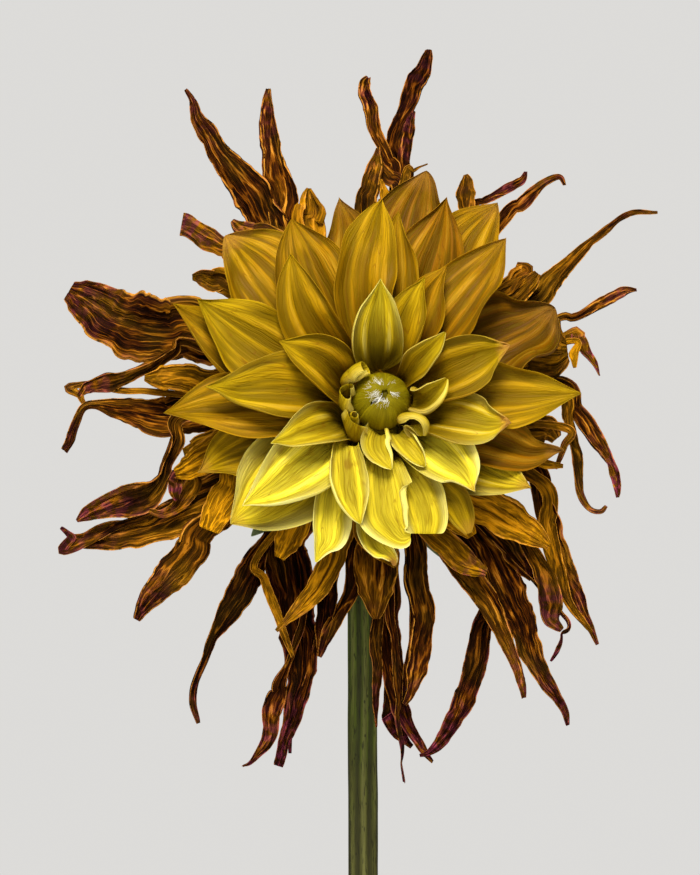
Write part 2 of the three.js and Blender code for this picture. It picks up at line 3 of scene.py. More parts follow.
import logging
from contextlib import contextmanager
from dataclasses import dataclass
from enum import Enum
from math import atan2, cos, pi, radians, sin, sqrt
from typing import Callable, Iterator, Mapping, NamedTuple, Sequence

import bpy
import numpy as np
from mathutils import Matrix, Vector
from mathutils.bvhtree import BVHTree


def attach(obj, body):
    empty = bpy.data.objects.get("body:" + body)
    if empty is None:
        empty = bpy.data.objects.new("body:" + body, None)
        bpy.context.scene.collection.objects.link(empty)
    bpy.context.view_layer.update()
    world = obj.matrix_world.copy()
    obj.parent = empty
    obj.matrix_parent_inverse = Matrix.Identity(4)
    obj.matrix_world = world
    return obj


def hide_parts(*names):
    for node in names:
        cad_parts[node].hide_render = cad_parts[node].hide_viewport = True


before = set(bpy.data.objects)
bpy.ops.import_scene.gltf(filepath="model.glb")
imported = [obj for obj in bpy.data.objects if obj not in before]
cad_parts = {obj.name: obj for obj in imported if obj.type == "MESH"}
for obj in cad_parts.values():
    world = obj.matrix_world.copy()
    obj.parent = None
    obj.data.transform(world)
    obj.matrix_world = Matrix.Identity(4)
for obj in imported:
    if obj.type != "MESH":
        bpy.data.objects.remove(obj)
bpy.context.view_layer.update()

LOG = logging.getLogger("dahlia")
MM = 0.001
WELD = 0.004 * MM

Array = np.ndarray
Pair = tuple[float, float]
Triple = tuple[float, float, float]
Profile = Callable[[Array], Array]
Field = Callable[[Array, Array], Array]
Piece = bpy.types.Object
Material = bpy.types.Material
Node = bpy.types.Node
Tree = bpy.types.NodeTree


def smooth(low: float, high: float, value: Array) -> Array:
    """A soft step from 0 at low to 1 at high."""
    share = np.clip((value - low) / (high - low), 0.0, 1.0)
    return share * share * (3.0 - 2.0 * share)


def mix(start: float, end: float, share: Array) -> Array:
    """The value a share of the way from start to end."""
    return start + (end - start) * share


def cubic(t: Array, start: Array, first: Array, second: Array, end: Array) -> Array:
    """Points at the shares t of an arc from start to end that is pulled towards two handles."""
    return (1 - t) ** 3 * start + 3 * (1 - t) ** 2 * t * first + 3 * (1 - t) * t**2 * second + t**3 * end


def walked(points: Array) -> Array:
    """How far along a chain of points each of them lies."""
    return np.concatenate(([0.0], np.cumsum(np.linalg.norm(np.diff(points, axis=0), axis=1))))


def unit(vectors: Array) -> Array:
    """Vectors, one in each row, brought to length 1."""
    return vectors / np.linalg.norm(vectors, axis=-1, keepdims=True)


def square_to(along: Array, vectors: Array) -> Array:
    """The part of vectors that is square to the unit directions along, brought to length 1."""
    return unit(vectors - np.sum(vectors * along, axis=-1, keepdims=True) * along)


class Wander:
    """Smooth seeded noise between -1 and 1, over two directions."""

    SIZE = 64

    def __init__(self, seed: int) -> None:
        """Draws the lattice of values that the noise runs through."""
        self._lattice = np.random.default_rng(seed).uniform(-1.0, 1.0, (self.SIZE, self.SIZE))

    def at(self, x: Array | float, y: Array | float = 0.0) -> Array:
        """Reads the noise.

        Args:
            x: Places along the first direction, one lattice step apart at whole numbers.
            y: Places along the second direction.

        Returns:
            The noise at each place.
        """
        x, y = np.broadcast_arrays(np.asarray(x, float), np.asarray(y, float))
        column, row = np.floor(x).astype(int), np.floor(y).astype(int)
        ease_x, ease_y = (f * f * f * (f * (f * 6 - 15) + 10) for f in (x - column, y - row))
        near, far = (
            self._lattice[column % self.SIZE, line % self.SIZE] * (1 - ease_x)
            + self._lattice[(column + 1) % self.SIZE, line % self.SIZE] * ease_x
            for line in (row, row + 1)
        )
        return near * (1 - ease_y) + far * ease_y


class Course:
    """A smooth line through space, in millimetres, read by the share of its length."""

    SAMPLES = 60

    def __init__(self, points: Array) -> None:
        """Measures the line through closely spaced points, one in each row."""
        reach = walked(points)
        self.length = float(reach[-1])
        self._points = points
        self._share = reach / self.length
        self._slopes = np.gradient(points, self._share, axis=0)

    @classmethod
    def through(cls, stops: Sequence[Array]) -> "Course":
        """A smooth line that passes every stop in order.

        Args:
            stops: The points that the line passes.

        Returns:
            The line.
        """
        knots = [2 * stops[0] - stops[1], *stops, 2 * stops[-1] - stops[-2]]
        t = np.linspace(0.0, 1.0, cls.SAMPLES, endpoint=False)[:, None]
        pieces = [
            0.5 * (2 * b + (c - a) * t + (2 * a - 5 * b + 4 * c - d) * t**2 + (3 * b - a - 3 * c + d) * t**3)
            for a, b, c, d in zip(knots, knots[1:], knots[2:], knots[3:])
        ]
        return cls(np.concatenate([*pieces, stops[-1][None, :]]))

    def at(self, share: Array) -> Array:
        """The points at these shares of the length."""
        return self._read(share, self._points)

    def along(self, share: Array) -> Array:
        """The unit directions in which the line runs at these shares of its length."""
        return unit(self._read(share, self._slopes))

    def _read(self, share: Array, rows: Array) -> Array:
        """Rows of three numbers, read between the line's own points."""
        return np.stack([np.interp(share, self._share, rows[:, i]) for i in range(3)], axis=-1)


class Bloom:
    """The bloom's own frame: a disc that faces the front, tipped up and turned a little to the right."""

    centre = np.array([4.1, -65.0, 322.0])
    yaw = radians(6)
    pitch = radians(15)
    eye_height = 12.0

    def __init__(self) -> None:
        """Works out the bloom's three directions and the eye that the photograph's places start from."""
        level = cos(self.pitch)
        self.axis = np.array([sin(self.yaw) * level, -cos(self.yaw) * level, sin(self.pitch)])
        self.right = np.array([cos(self.yaw), sin(self.yaw), 0.0])
        self.up = np.cross(self.axis, self.right)
        self.eye = self.face_point(0.0, 0.0, self.eye_height)

    def face_point(self, across: float, upward: float, height: float) -> Array:
        """The point at (across, upward) in the disc's plane and height in front of it."""
        return self.centre + self.right * across + self.up * upward + self.axis * height

    def seen_point(self, x: float, z: float, height: float) -> Array:
        """The point seen from straight in front at a place from the eye, in millimetres.

        Args:
            x: How far right of the eye.
            z: How far above the eye.
            height: How far the point stands in front of the disc.

        Returns:
            The point.
        """
        upward = (self.eye[2] + z - self.centre[2] - height * self.axis[2]) / self.up[2]
        across = self.eye[0] + x - self.centre[0] - upward * self.up[0] - height * self.axis[0]
        return self.face_point(across / self.right[0], upward, height)

    def polar_point(self, azimuth: float, radius: float, height: float) -> Array:
        """A place on the disc in polar terms."""
        return self.face_point(cos(azimuth) * radius, sin(azimuth) * radius, height)

    def azimuth_of(self, point: Array) -> float:
        """The direction from the middle of the disc in which a point lies."""
        offset = point - self.centre
        return atan2(offset @ self.up, offset @ self.right)

    def outward(self, azimuth: float, lean: float) -> Array:
        """The direction that leans away from the axis by an angle, towards an azimuth."""
        flat = cos(azimuth) * self.right + sin(azimuth) * self.up
        return cos(lean) * self.axis + sin(lean) * flat

    def arched(self, root: Array, tip: Array, azimuth: float, leans: Pair) -> Course:
        """A floret's spine, which leaves its root at one lean and reaches its tip at another.

        Args:
            root: Where the floret stands in the head.
            tip: Where it ends.
            azimuth: The direction in which it grows out.
            leans: How far from the bloom's axis it leans at root and tip, in degrees.

        Returns:
            The spine.
        """
        reach = np.linalg.norm(tip - root) * 0.4
        first = root + self.outward(azimuth, radians(leans[0])) * reach
        second = tip - self.outward(azimuth, radians(leans[1])) * reach
        return Course(cubic(np.linspace(0.0, 1.0, Course.SAMPLES * 2)[:, None], root, first, second, tip))


BLOOM = Bloom()


class Tissue(NamedTuple):
    """A floret's age, from below 0 where it is still lemon to over 1 where it has dried, and how blushed it is. The
    age also carries painted light and shade: below 0 it paints light on the lower florets that face the lamp, high
    values paint shade on the upper florets, and what is added past 1 paints shade on withered florets that hang far
    back.
    """

    age: float
    blush: float = 0.0


@dataclass
class Blade:
    """A thin petal or leaf, rolled and folded across a spine.

    Each row across it is a chain of short steps. A step's angle is measured from the flat, so folds take
    up width as they do in a real petal. The keel is the share of its columns at which the spine lies.
    """

    course: Course
    width: Profile
    angle: Field
    tissue: Tissue
    turn: Profile = lambda s: 0.0 * s
    crumple: Field = lambda s, v: 0.0
    rows: int = 40
    columns: int = 16
    facing: Profile = lambda points: BLOOM.axis
    gathered: bool = False
    keel: float = 0.5

    ROW_CROWDING = 1.35
    GATHER_LIMIT = 2.8

    def surface(self) -> tuple[Array, Array]:
        """Lays the petal out.

        Returns:
            The points, in millimetres, and for each its place across from -1 to 1, its share of the
            length, and how far it stands out of its surroundings, from -1 in a valley to 1 on a crest.
        """
        s = 1 - (1 - np.arange(self.rows + 1) / self.rows) ** self.ROW_CROWDING
        v = np.linspace(-1.0, 1.0, self.columns + 1)
        middle = (v[1:] + v[:-1]) / 2
        spine, along = self.course.at(s), self.course.along(s)
        inward = square_to(along, np.broadcast_to(self.facing(spine), spine.shape))
        turn = np.asarray(self.turn(s))[:, None]
        inward = inward * np.cos(turn) - np.cross(along, inward) * np.sin(turn)
        side = np.cross(along, inward)
        angles = self.angle(s[:, None], middle[None, :])
        step = (self.width(s) / self.columns)[:, None]
        x, y = (np.pad(np.cumsum(part * step, axis=1), ((0, 0), (1, 0))) for part in (np.cos(angles), np.sin(angles)))
        centre = round(self.columns * self.keel)
        x, y = (part - part[:, centre : centre + 1] for part in (x, y))
        if self.gathered:
            low, high = x.min(axis=1, keepdims=True), x.max(axis=1, keepdims=True)
            swell = np.clip(self.width(s)[:, None] / (high - low), 1.0, self.GATHER_LIMIT)
            x = (x - (low + high) / 2) * swell
            y = (y - y.mean(axis=1, keepdims=True)) * swell**0.6
        y = y + self.crumple(s[:, None], v[None, :])
        points = spine[:, None, :] + side[:, None, :] * x[:, :, None] + inward[:, None, :] * y[:, :, None]
        across, share = np.broadcast_arrays(v[None, :], s[:, None])
        return points, np.stack([across, share, self._relief(y)], axis=-1)

    def _relief(self, lift: Array) -> Array:
        """How far each point stands above the mean of its neighbours across.

        Args:
            lift: The height of each point over the petal's spine, in millimetres.

        Returns:
            The relief, from -1 to 1.
        """
        relief = np.zeros_like(lift)
        for reach, height in ((max(1, self.columns // 20), 0.05), (max(2, self.columns // 7), 0.35)):
            padded = np.pad(lift, ((0, 0), (reach, reach)), mode="edge")
            window = 2 * reach + 1
            mean = sum(padded[:, i : i + lift.shape[1]] for i in range(window)) / window
            relief += 0.5 * np.tanh((lift - mean) / height)
        return relief


class Nest:
    """The petals of a bloom, laid from the top down, so that each lies under those before it."""

    CLEARANCE = 0.45
    DEEPEST = 7.0
    REACH = 45.0
    SPREAD = 30

    def __init__(self) -> None:
        """Starts with no petals."""
        self.trees: list[tuple[BVHTree, Array, Array]] = []

    def add(self, points: Array) -> None:
        """Takes up a petal that others have to lie under.

        Args:
            points: Its points, row by row, in millimetres.
        """
        index = np.arange(points.shape[0] * points.shape[1]).reshape(points.shape[:2])
        quads = np.stack([index[:-1, :-1], index[:-1, 1:], index[1:, 1:], index[1:, :-1]], axis=-1)
        flat = points.reshape(-1, 3)
        face = self._face(flat)
        tree = BVHTree.FromPolygons(flat.tolist(), quads.reshape(-1, 4).tolist())
        self.trees.append((tree, face.min(axis=0), face.max(axis=0)))

    def tuck(self, points: Array) -> Array:
        """Lowers a petal under all those taken up so far.

        Args:
            points: Its points, row by row, in millimetres.

        Returns:
            The points, moved down along the bloom's axis where something lay over them.
        """
        flat = points.reshape(-1, 3)
        face, starts = self._face(flat), flat - BLOOM.axis * self.REACH
        need = np.zeros(len(flat))
        axis = Vector(BLOOM.axis)
        for tree, low, high in self.trees:
            for i in np.flatnonzero(np.all((face > low) & (face < high), axis=1)):
                distance = tree.ray_cast(Vector(starts[i]), axis, 2 * self.REACH)[3]
                if distance is not None:
                    need[i] = max(need[i], self.REACH + self.CLEARANCE - distance)
        need = np.minimum(need, self.DEEPEST).reshape(points.shape[:2])
        drop = need
        for _ in range(self.SPREAD):
            padded = np.pad(drop, 1, mode="edge")
            mean = (padded[:-2, 1:-1] + padded[2:, 1:-1] + padded[1:-1, :-2] + padded[1:-1, 2:]) / 4
            drop = np.maximum(need, mean)
        return points - drop[:, :, None] * BLOOM.axis

    @staticmethod
    def _face(points: Array) -> Array:
        """Where points lie in the plane of the bloom's face."""
        return np.stack([points @ BLOOM.right, points @ BLOOM.up], axis=1)


class Maker:
    """Turns surfaces into finished pieces by the usual mesh tools."""

    MARGIN_SHARES = (0.2, 0.55, 0.85)

    @staticmethod
    def select(*pieces: Piece) -> None:
        """Selects these pieces and nothing else, and makes the first one active."""
        for other in bpy.context.selected_objects:
            other.select_set(False)
        for piece in pieces:
            piece.select_set(True)
        if pieces:
            bpy.context.view_layer.objects.active = pieces[0]

    @staticmethod
    @contextmanager
    def editing() -> Iterator[None]:
        """Opens the active piece's mesh with all of it selected, and closes it again."""
        bpy.ops.object.mode_set(mode="EDIT")
        bpy.ops.mesh.select_all(action="SELECT")
        yield
        bpy.ops.mesh.select_all(action="DESELECT")
        bpy.ops.object.mode_set(mode="OBJECT")

    @classmethod
    def blade(cls, blade: Blade, number: int, nest: Nest | None = None, joins: bool = False) -> Piece:
        """Shapes one petal from a grid.

        Args:
            blade: The petal's shape.
            number: A number of its own, for its grain.
            nest: The petals that it has to lie under.
            joins: Whether later petals have to lie under it too.

        Returns:
            The open sheet, with its own places and tissue stored on its points.
        """
        points, places = blade.surface()
        if nest is not None:
            points = nest.tuck(points)
            if joins:
                nest.add(points)
        breadth = float(np.max(blade.width(np.linspace(0, 1, 21))))
        return cls.sheet(points, places, blade.tissue, (breadth, blade.course.length), number)

    @classmethod
    def sheet(cls, points: Array, places: Array, tissue: Tissue, size: Pair, number: int) -> Piece:
        """Lays a grid over rows of points.

        Args:
            points: The points, row by row, in millimetres.
            places: What each point knows of its own place: across, along and relief.
            tissue: How far the petal has gone.
            size: Its breadth and length, in millimetres, which its own map is drawn to.
            number: A number of its own, for its grain.

        Returns:
            The open sheet.
        """
        cls.select()
        rows, columns = points.shape[0] - 1, points.shape[1] - 1
        bpy.ops.mesh.primitive_grid_add(x_subdivisions=columns, y_subdivisions=rows, size=2.0, calc_uvs=True)
        piece = bpy.context.object
        mesh = piece.data
        mesh.vertices.foreach_set("co", (points * MM).ravel())
        cls._thin_margins(piece, rows, columns)
        tone = float(np.random.default_rng(number).uniform())
        colours = np.tile([*tissue, tone, 1.0], (len(mesh.vertices), 1))
        for name, kind, part, values in (
            ("place", "FLOAT_VECTOR", "vector", places),
            ("tissue", "FLOAT_COLOR", "color", colours),
        ):
            mesh.attributes.new(name, kind, "POINT").data.foreach_set(part, values.ravel())
        layer = mesh.uv_layers.active.data
        uv = np.empty(len(mesh.loops) * 2)
        layer.foreach_get("uv", uv)
        uv = (uv.reshape(-1, 2) - (0.5, 0.0)) * size / 10 + (7.3 * (number % 40), 3.1 * (number % 7))
        layer.foreach_set("uv", uv.ravel())
        mesh.update()
        return piece

    @staticmethod
    def _thin_margins(piece: Piece, rows: int, columns: int) -> None:
        """Marks how thick a sheet gets: thin at its margins and its tip, whole inside.

        Args:
            piece: The sheet, whose points lie row by row.
            rows: Its steps along.
            columns: Its steps across.
        """
        wall = piece.vertex_groups.new(name="wall")
        row, column = np.divmod(np.arange((rows + 1) * (columns + 1)), columns + 1)
        inset = np.minimum(np.minimum(column, columns - column), rows - row)
        inset = np.minimum(inset, len(Maker.MARGIN_SHARES))
        for step, share in enumerate((*Maker.MARGIN_SHARES, 1.0)):
            wall.add(np.flatnonzero(inset == step).tolist(), share, "REPLACE")

    @classmethod
    def turned(cls, name: str, profile: Sequence[Pair], segments: int, levels: int) -> Piece:
        """Draws a closed turned shape up from a circle, ring by ring.

        Args:
            name: The shape's name.
            profile: The outline, radius and height in millimetres, from the first ring to the last.
            segments: How many points each ring has.
            levels: How many times the shape is subdivided.

        Returns:
            The shape, upright about Z.
        """
        cls.select()
        radius, height = profile[0]
        bpy.ops.mesh.primitive_circle_add(
            vertices=segments, radius=radius * MM, fill_type="NGON", location=(0, 0, height * MM)
        )
        piece = bpy.context.object
        piece.name = piece.data.name = name
        bpy.ops.object.transform_apply(location=True, rotation=True, scale=True)
        with cls.editing():
            for (radius, height), (wider, higher) in zip(profile, profile[1:]):
                bpy.ops.mesh.extrude_region_move(TRANSFORM_OT_translate={"value": (0, 0, (higher - height) * MM)})
                grown = wider / radius
                bpy.ops.transform.resize(value=(grown, grown, 1), center_override=(0, 0, higher * MM))
            bpy.ops.mesh.select_all(action="SELECT")
            bpy.ops.mesh.normals_make_consistent(inside=False)
        cls.select(piece)
        soften = piece.modifiers.new("soften", "SUBSURF")
        soften.levels = soften.render_levels = levels
        bpy.ops.object.modifier_apply(modifier=soften.name)
        return piece

    @classmethod
    def weld(cls, piece: Piece) -> None:
        """Merges the points of a piece that lie in one place."""
        cls.select(piece)
        with cls.editing():
            bpy.ops.mesh.remove_doubles(threshold=WELD)

    @classmethod
    def joined(cls, pieces: Sequence[Piece], name: str) -> Piece:
        """Joins pieces into one, which takes the name."""
        cls.select(*pieces)
        bpy.ops.object.join()
        piece = bpy.context.object
        piece.name = piece.data.name = name
        return piece

    @classmethod
    def petals(cls, sheets: Sequence[Piece], name: str, thickness: float) -> Piece:
        """Joins open sheets into one piece and gives it thickness.

        Args:
            sheets: The sheets.
            name: The piece's name.
            thickness: Its thickness in millimetres, half to each side.

        Returns:
            The piece.
        """
        piece = cls.joined(sheets, name)
        cls.weld(piece)
        cls.select(piece)
        wall = piece.modifiers.new("wall", "SOLIDIFY")
        wall.thickness = thickness * MM
        wall.offset = 0.0
        wall.use_even_offset = False
        wall.vertex_group = "wall"
        bpy.ops.object.modifier_apply(modifier=wall.name)
        return piece

    @classmethod
    def settle(cls, piece: Piece, finish: Material, slot: str, angle: float = 60) -> Piece:
        """Puts a piece's place into its mesh, smooths it, dresses it and rides it on the body.

        Args:
            piece: The piece.
            finish: Its material.
            slot: The record's material slot; not used.
            angle: Edges sharper than this, in degrees, stay sharp.

        Returns:
            The piece.
        """
        cls.select(piece)
        bpy.ops.object.transform_apply(location=True, rotation=True, scale=True)
        bpy.ops.object.shade_smooth_by_angle(angle=radians(angle))
        piece.data.materials.clear()
        piece.data.materials.append(finish)
        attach(piece, "root")
        triangles = sum(len(face.vertices) - 2 for face in piece.data.polygons)
        LOG.info("%s: %d triangles", piece.name, triangles)
        return piece


@dataclass(frozen=True)
class Term:
    """A node's output, which takes part in sums as a plain number does."""

    nodes: "Nodes"
    socket: bpy.types.NodeSocket

    def __add__(self, other: object) -> "Term":
        """The sum."""
        return self.nodes.math("ADD", self, other)

    def __sub__(self, other: object) -> "Term":
        """The difference."""
        return self.nodes.math("SUBTRACT", self, other)

    def __rsub__(self, other: object) -> "Term":
        """What is left of a number when this is taken from it."""
        return self.nodes.math("SUBTRACT", other, self)

    def __mul__(self, other: object) -> "Term":
        """The product."""
        return self.nodes.math("MULTIPLY", self, other)

    def __abs__(self) -> "Term":
        """The size without its sign."""
        return self.nodes.math("ABSOLUTE", self)

    def held(self) -> "Term":
        """The same sum, kept between 0 and 1."""
        self.socket.node.use_clamp = True
        return self


Stops = Sequence[tuple[float, Triple]]
Inputs = Mapping[int | str, object]
BLACK, WHITE = (0.0, 0.0, 0.0), (1.0, 1.0, 1.0)
GREYS = ((0.0, BLACK), (1.0, WHITE))


def tint(colour: Triple, share: float) -> Triple:
    """A colour at a share of its brightness."""
    return tuple(part * share for part in colour)


class Nodes:
    """A short way to lay out one material's or one group's nodes."""

    def __init__(self, tree: Tree) -> None:
        """Takes up the tree to add to."""
        self.tree = tree

    def feed(self, node: Node, inputs: Inputs) -> Node:
        """Joins terms, or sets plain values, at a node's inputs.

        Args:
            node: The node.
            inputs: What goes into which input, by its number or name.

        Returns:
            The node.
        """
        for key, value in inputs.items():
            target = node.inputs[key]
            if isinstance(value, Term):
                self.tree.links.new(value.socket, target)
            else:
                target.default_value = (*value, 1.0) if target.type == "RGBA" else value
        return node

    def add(self, kind: str, inputs: Inputs | None = None, **settings: object) -> Node:
        """Adds a node.

        Args:
            kind: Its kind.
            inputs: What goes into which input.
            settings: Its properties.

        Returns:
            The node.
        """
        node = self.tree.nodes.new(kind)
        for name, value in settings.items():
            setattr(node, name, value)
        return self.feed(node, inputs or {})

    def out(self, node: Node, key: int | str = 0) -> Term:
        """One output of a node."""
        return Term(self, node.outputs[key])

    def math(self, kind: str, *values: object) -> Term:
        """One step of arithmetic on terms or numbers."""
        return self.out(self.add("ShaderNodeMath", dict(enumerate(values)), operation=kind))

    def band(self, value: Term, low: float, high: float, start: float = 0.0, end: float = 1.0) -> Term:
        """A soft step in a value, from start at low to end at high."""
        inputs = dict(enumerate((value, low, high, start, end)))
        return self.out(self.add("ShaderNodeMapRange", inputs, interpolation_type="SMOOTHSTEP"))

    def blend(self, share: object, first: object, second: object, kind: str = "MIX") -> Term:
        """Two colours, mixed by the share of the second."""
        inputs = {0: share, 6: first, 7: second}
        return self.out(self.add("ShaderNodeMix", inputs, data_type="RGBA", blend_type=kind), 2)

    def ramp(self, value: Term, stops: Stops) -> Term:
        """A colour that runs through stops, each a place from 0 to 1 and its colour."""
        node = self.add("ShaderNodeValToRGB", {0: value})
        band = node.color_ramp
        while len(band.elements) < len(stops):
            band.elements.new(0.5)
        for element, (place, colour) in zip(band.elements, stops):
            element.position = place
            element.color = (*colour, 1.0)
        return self.out(node)

    def dim(self, colour: Term, share: Term, stops: Stops = GREYS) -> Term:
        """A colour darkened to a share of itself."""
        return self.blend(1.0, colour, self.ramp(share, stops), "MULTIPLY")

    def lit(self, level: Term, low: float, high: float, colour: Triple, least: float) -> Term:
        """A colour that brightens from its least share at a low level to the whole of it at a high one."""
        return self.blend(self.band(level, low, high), tint(colour, least), colour)

    def noise(self, place: Term, scale: float, detail: float = 2.0, rough: float = 0.5) -> Term:
        """Plain noise at a place."""
        inputs = {"Vector": place, "Scale": scale, "Detail": detail, "Roughness": rough}
        return self.out(self.add("ShaderNodeTexNoise", inputs), "Fac")

    def stretch(self, place: Term, across: float, along: float) -> Term:
        """A place scaled across and along."""
        return self.out(self.add("ShaderNodeVectorMath", {0: place, 1: (across, along, 1.0)}, operation="MULTIPLY"))

    def split(self, source: Term, kind: str = "XYZ") -> list[Term]:
        """The three parts of a place or a colour."""
        node = self.add(f"ShaderNodeSeparate{kind}", {0: source})
        return [self.out(node, i) for i in range(3)]

    def place(self) -> Term:
        """A point's place in the piece."""
        return self.out(self.add("ShaderNodeTexCoord"), "Object")

    def sheet(self) -> tuple[Term, ...]:
        """What a sheet stores: its own map, its place across, along and in relief, its age with its painted light and
        shade, its blush and tone.
        """
        uv = self.out(self.add("ShaderNodeUVMap"))
        place, tissue = (self.add("ShaderNodeAttribute", attribute_name=name) for name in ("place", "tissue"))
        return uv, *self.split(self.out(place, "Vector")), *self.split(self.out(tissue, "Color"), "Color")

    def lines(self, group: Tree, uv: Term, pitch: float, waver: float) -> list[Term]:
        """What a group of lines gives on a sheet's own map.

        Args:
            group: The group.
            uv: The sheet's map.
            pitch: How many lines a centimetre has.
            waver: How far they waver, in centimetres.

        Returns:
            The group's outputs.
        """
        node = self.add("ShaderNodeGroup", node_tree=group)
        self.feed(node, {0: uv, 1: pitch, 2: waver})
        return [self.out(node, i) for i in range(len(node.outputs))]

    def relief(self, height: Term, strength: float, distance: float) -> Term:
        """The slope of a fine relief, which shows by its strength and is so many millimetres deep."""
        inputs = {"Strength": strength, "Distance": distance * MM, "Height": height}
        return self.out(self.add("ShaderNodeBump", inputs))


class LineGroup:
    """A shared node group that draws wavering lines along a petal or a leaf."""

    def __init__(self, name: str, waver: Triple, outputs: Sequence[str]) -> None:
        """Sets up the group's ends and the place that its lines follow.

        Args:
            name: The group's name.
            waver: The noise that sways the lines: its scale across and along, and its detail.
            outputs: What the group gives.
        """
        self.tree = bpy.data.node_groups.new(name, "ShaderNodeTree")
        for key, kind in (("Place", "Vector"), ("Lines a centimetre", "Float"), ("Waver", "Float")):
            self.tree.interface.new_socket(key, in_out="INPUT", socket_type=f"NodeSocket{kind}")
        for key in outputs:
            self.tree.interface.new_socket(key, in_out="OUTPUT", socket_type="NodeSocketFloat")
        self.nodes = Nodes(self.tree)
        entry, self.leave = self.nodes.add("NodeGroupInput"), self.nodes.add("NodeGroupOutput")
        self.place, pitch, reach = (self.nodes.out(entry, i) for i in range(3))
        across, self.along, _ = self.nodes.split(self.place)
        sway = self.nodes.noise(self.nodes.stretch(self.place, *waver[:2]), 1.0, waver[2])
        self.dense = (across + (sway - 0.5) * reach) * pitch

    def run(self, spread: float, length: float, shift: float = 0.0) -> Term:
        """A place that runs along the lines, drawn out by a spread across them and a length along them."""
        inputs = {0: self.dense * spread + shift, 1: self.along * length}
        return self.nodes.out(self.nodes.add("ShaderNodeCombineXYZ", inputs))

    def line(self, width: float, *run: float) -> Term:
        """A set of thin lines, which lie where a noise on such a run crosses its middle."""
        return self.nodes.band(abs(self.nodes.noise(self.run(*run), 1.0, 1.0) - 0.5), 0.0, width, 1.0, 0.0)


def grain_group() -> Tree:
    """The shared grain of petals and leaves: fine veins that run along their length.

    Returns:
        A group that gives the veins, the streaks, some darker marks and the height of their relief.
    """
    group = LineGroup("lengthwise grain", (1.0, 1.6, 2.0), ("Veins", "Streaks", "Marks", "Height"))
    nodes = group.nodes
    broad, fine, sparse = (group.line(w, spread, 0.4) for w, spread in ((0.05, 0.5), (0.075, 1.0), (0.014, 0.21)))
    faded = nodes.noise(nodes.stretch(group.place, 1.3, 1.7), 1.0)
    streaks = nodes.noise(group.run(0.3, 0.6), 1.0)
    veins = (fine * 0.6 + broad * 0.7).held()
    marks = sparse * nodes.band(faded, 0.4, 0.62)
    nodes.feed(group.leave, {0: veins, 1: nodes.band(streaks, 0.35, 0.65), 2: marks, 3: streaks * 0.8 - veins * 0.7})
    return group.tree


def wrinkle_group() -> Tree:
    """The shared wrinkles of dried tissue: sharp ridges that run along it, crossed by a faint crackle.

    Returns:
        A group that gives the ridges and the height of their relief.
    """
    group = LineGroup("dried wrinkles", (1.4, 1.4, 3.0), ("Ridges", "Height"))
    nodes = group.nodes
    broad = group.line(0.055, 0.45, 0.4)
    fine = group.line(0.08, 1.1, 0.9, 31.0)
    finest = group.line(0.1, 2.4, 1.8, 57.0)
    ridges = (finest * 0.25 + (broad * 0.7 + fine * 0.45)).held()
    crackle = nodes.noise(nodes.stretch(group.place, 11.0, 7.0), 1.0, 3.0, 0.6)
    nodes.feed(group.leave, {0: ridges, 1: crackle * 0.35 + ridges})
    return group.tree


@dataclass(frozen=True)
class Finish:
    """The finish of a surface."""

    name: str

    def skin(self, nodes: Nodes, *groups: Tree) -> Inputs:
        """Lays the surface out.

        Args:
            nodes: The material's nodes.
            groups: The shared groups of lines that it shows.

        Returns:
            What the shader's inputs take.
        """
        raise NotImplementedError

    def material(self, *groups: Tree) -> Material:
        """Builds the material.

        Args:
            groups: The shared groups of lines that it shows.

        Returns:
            The material.
        """
        material = bpy.data.materials.new(self.name)
        material.use_nodes = True
        nodes = Nodes(material.node_tree)
        nodes.feed(material.node_tree.nodes["Principled BSDF"], self.skin(nodes, *groups))
        return material


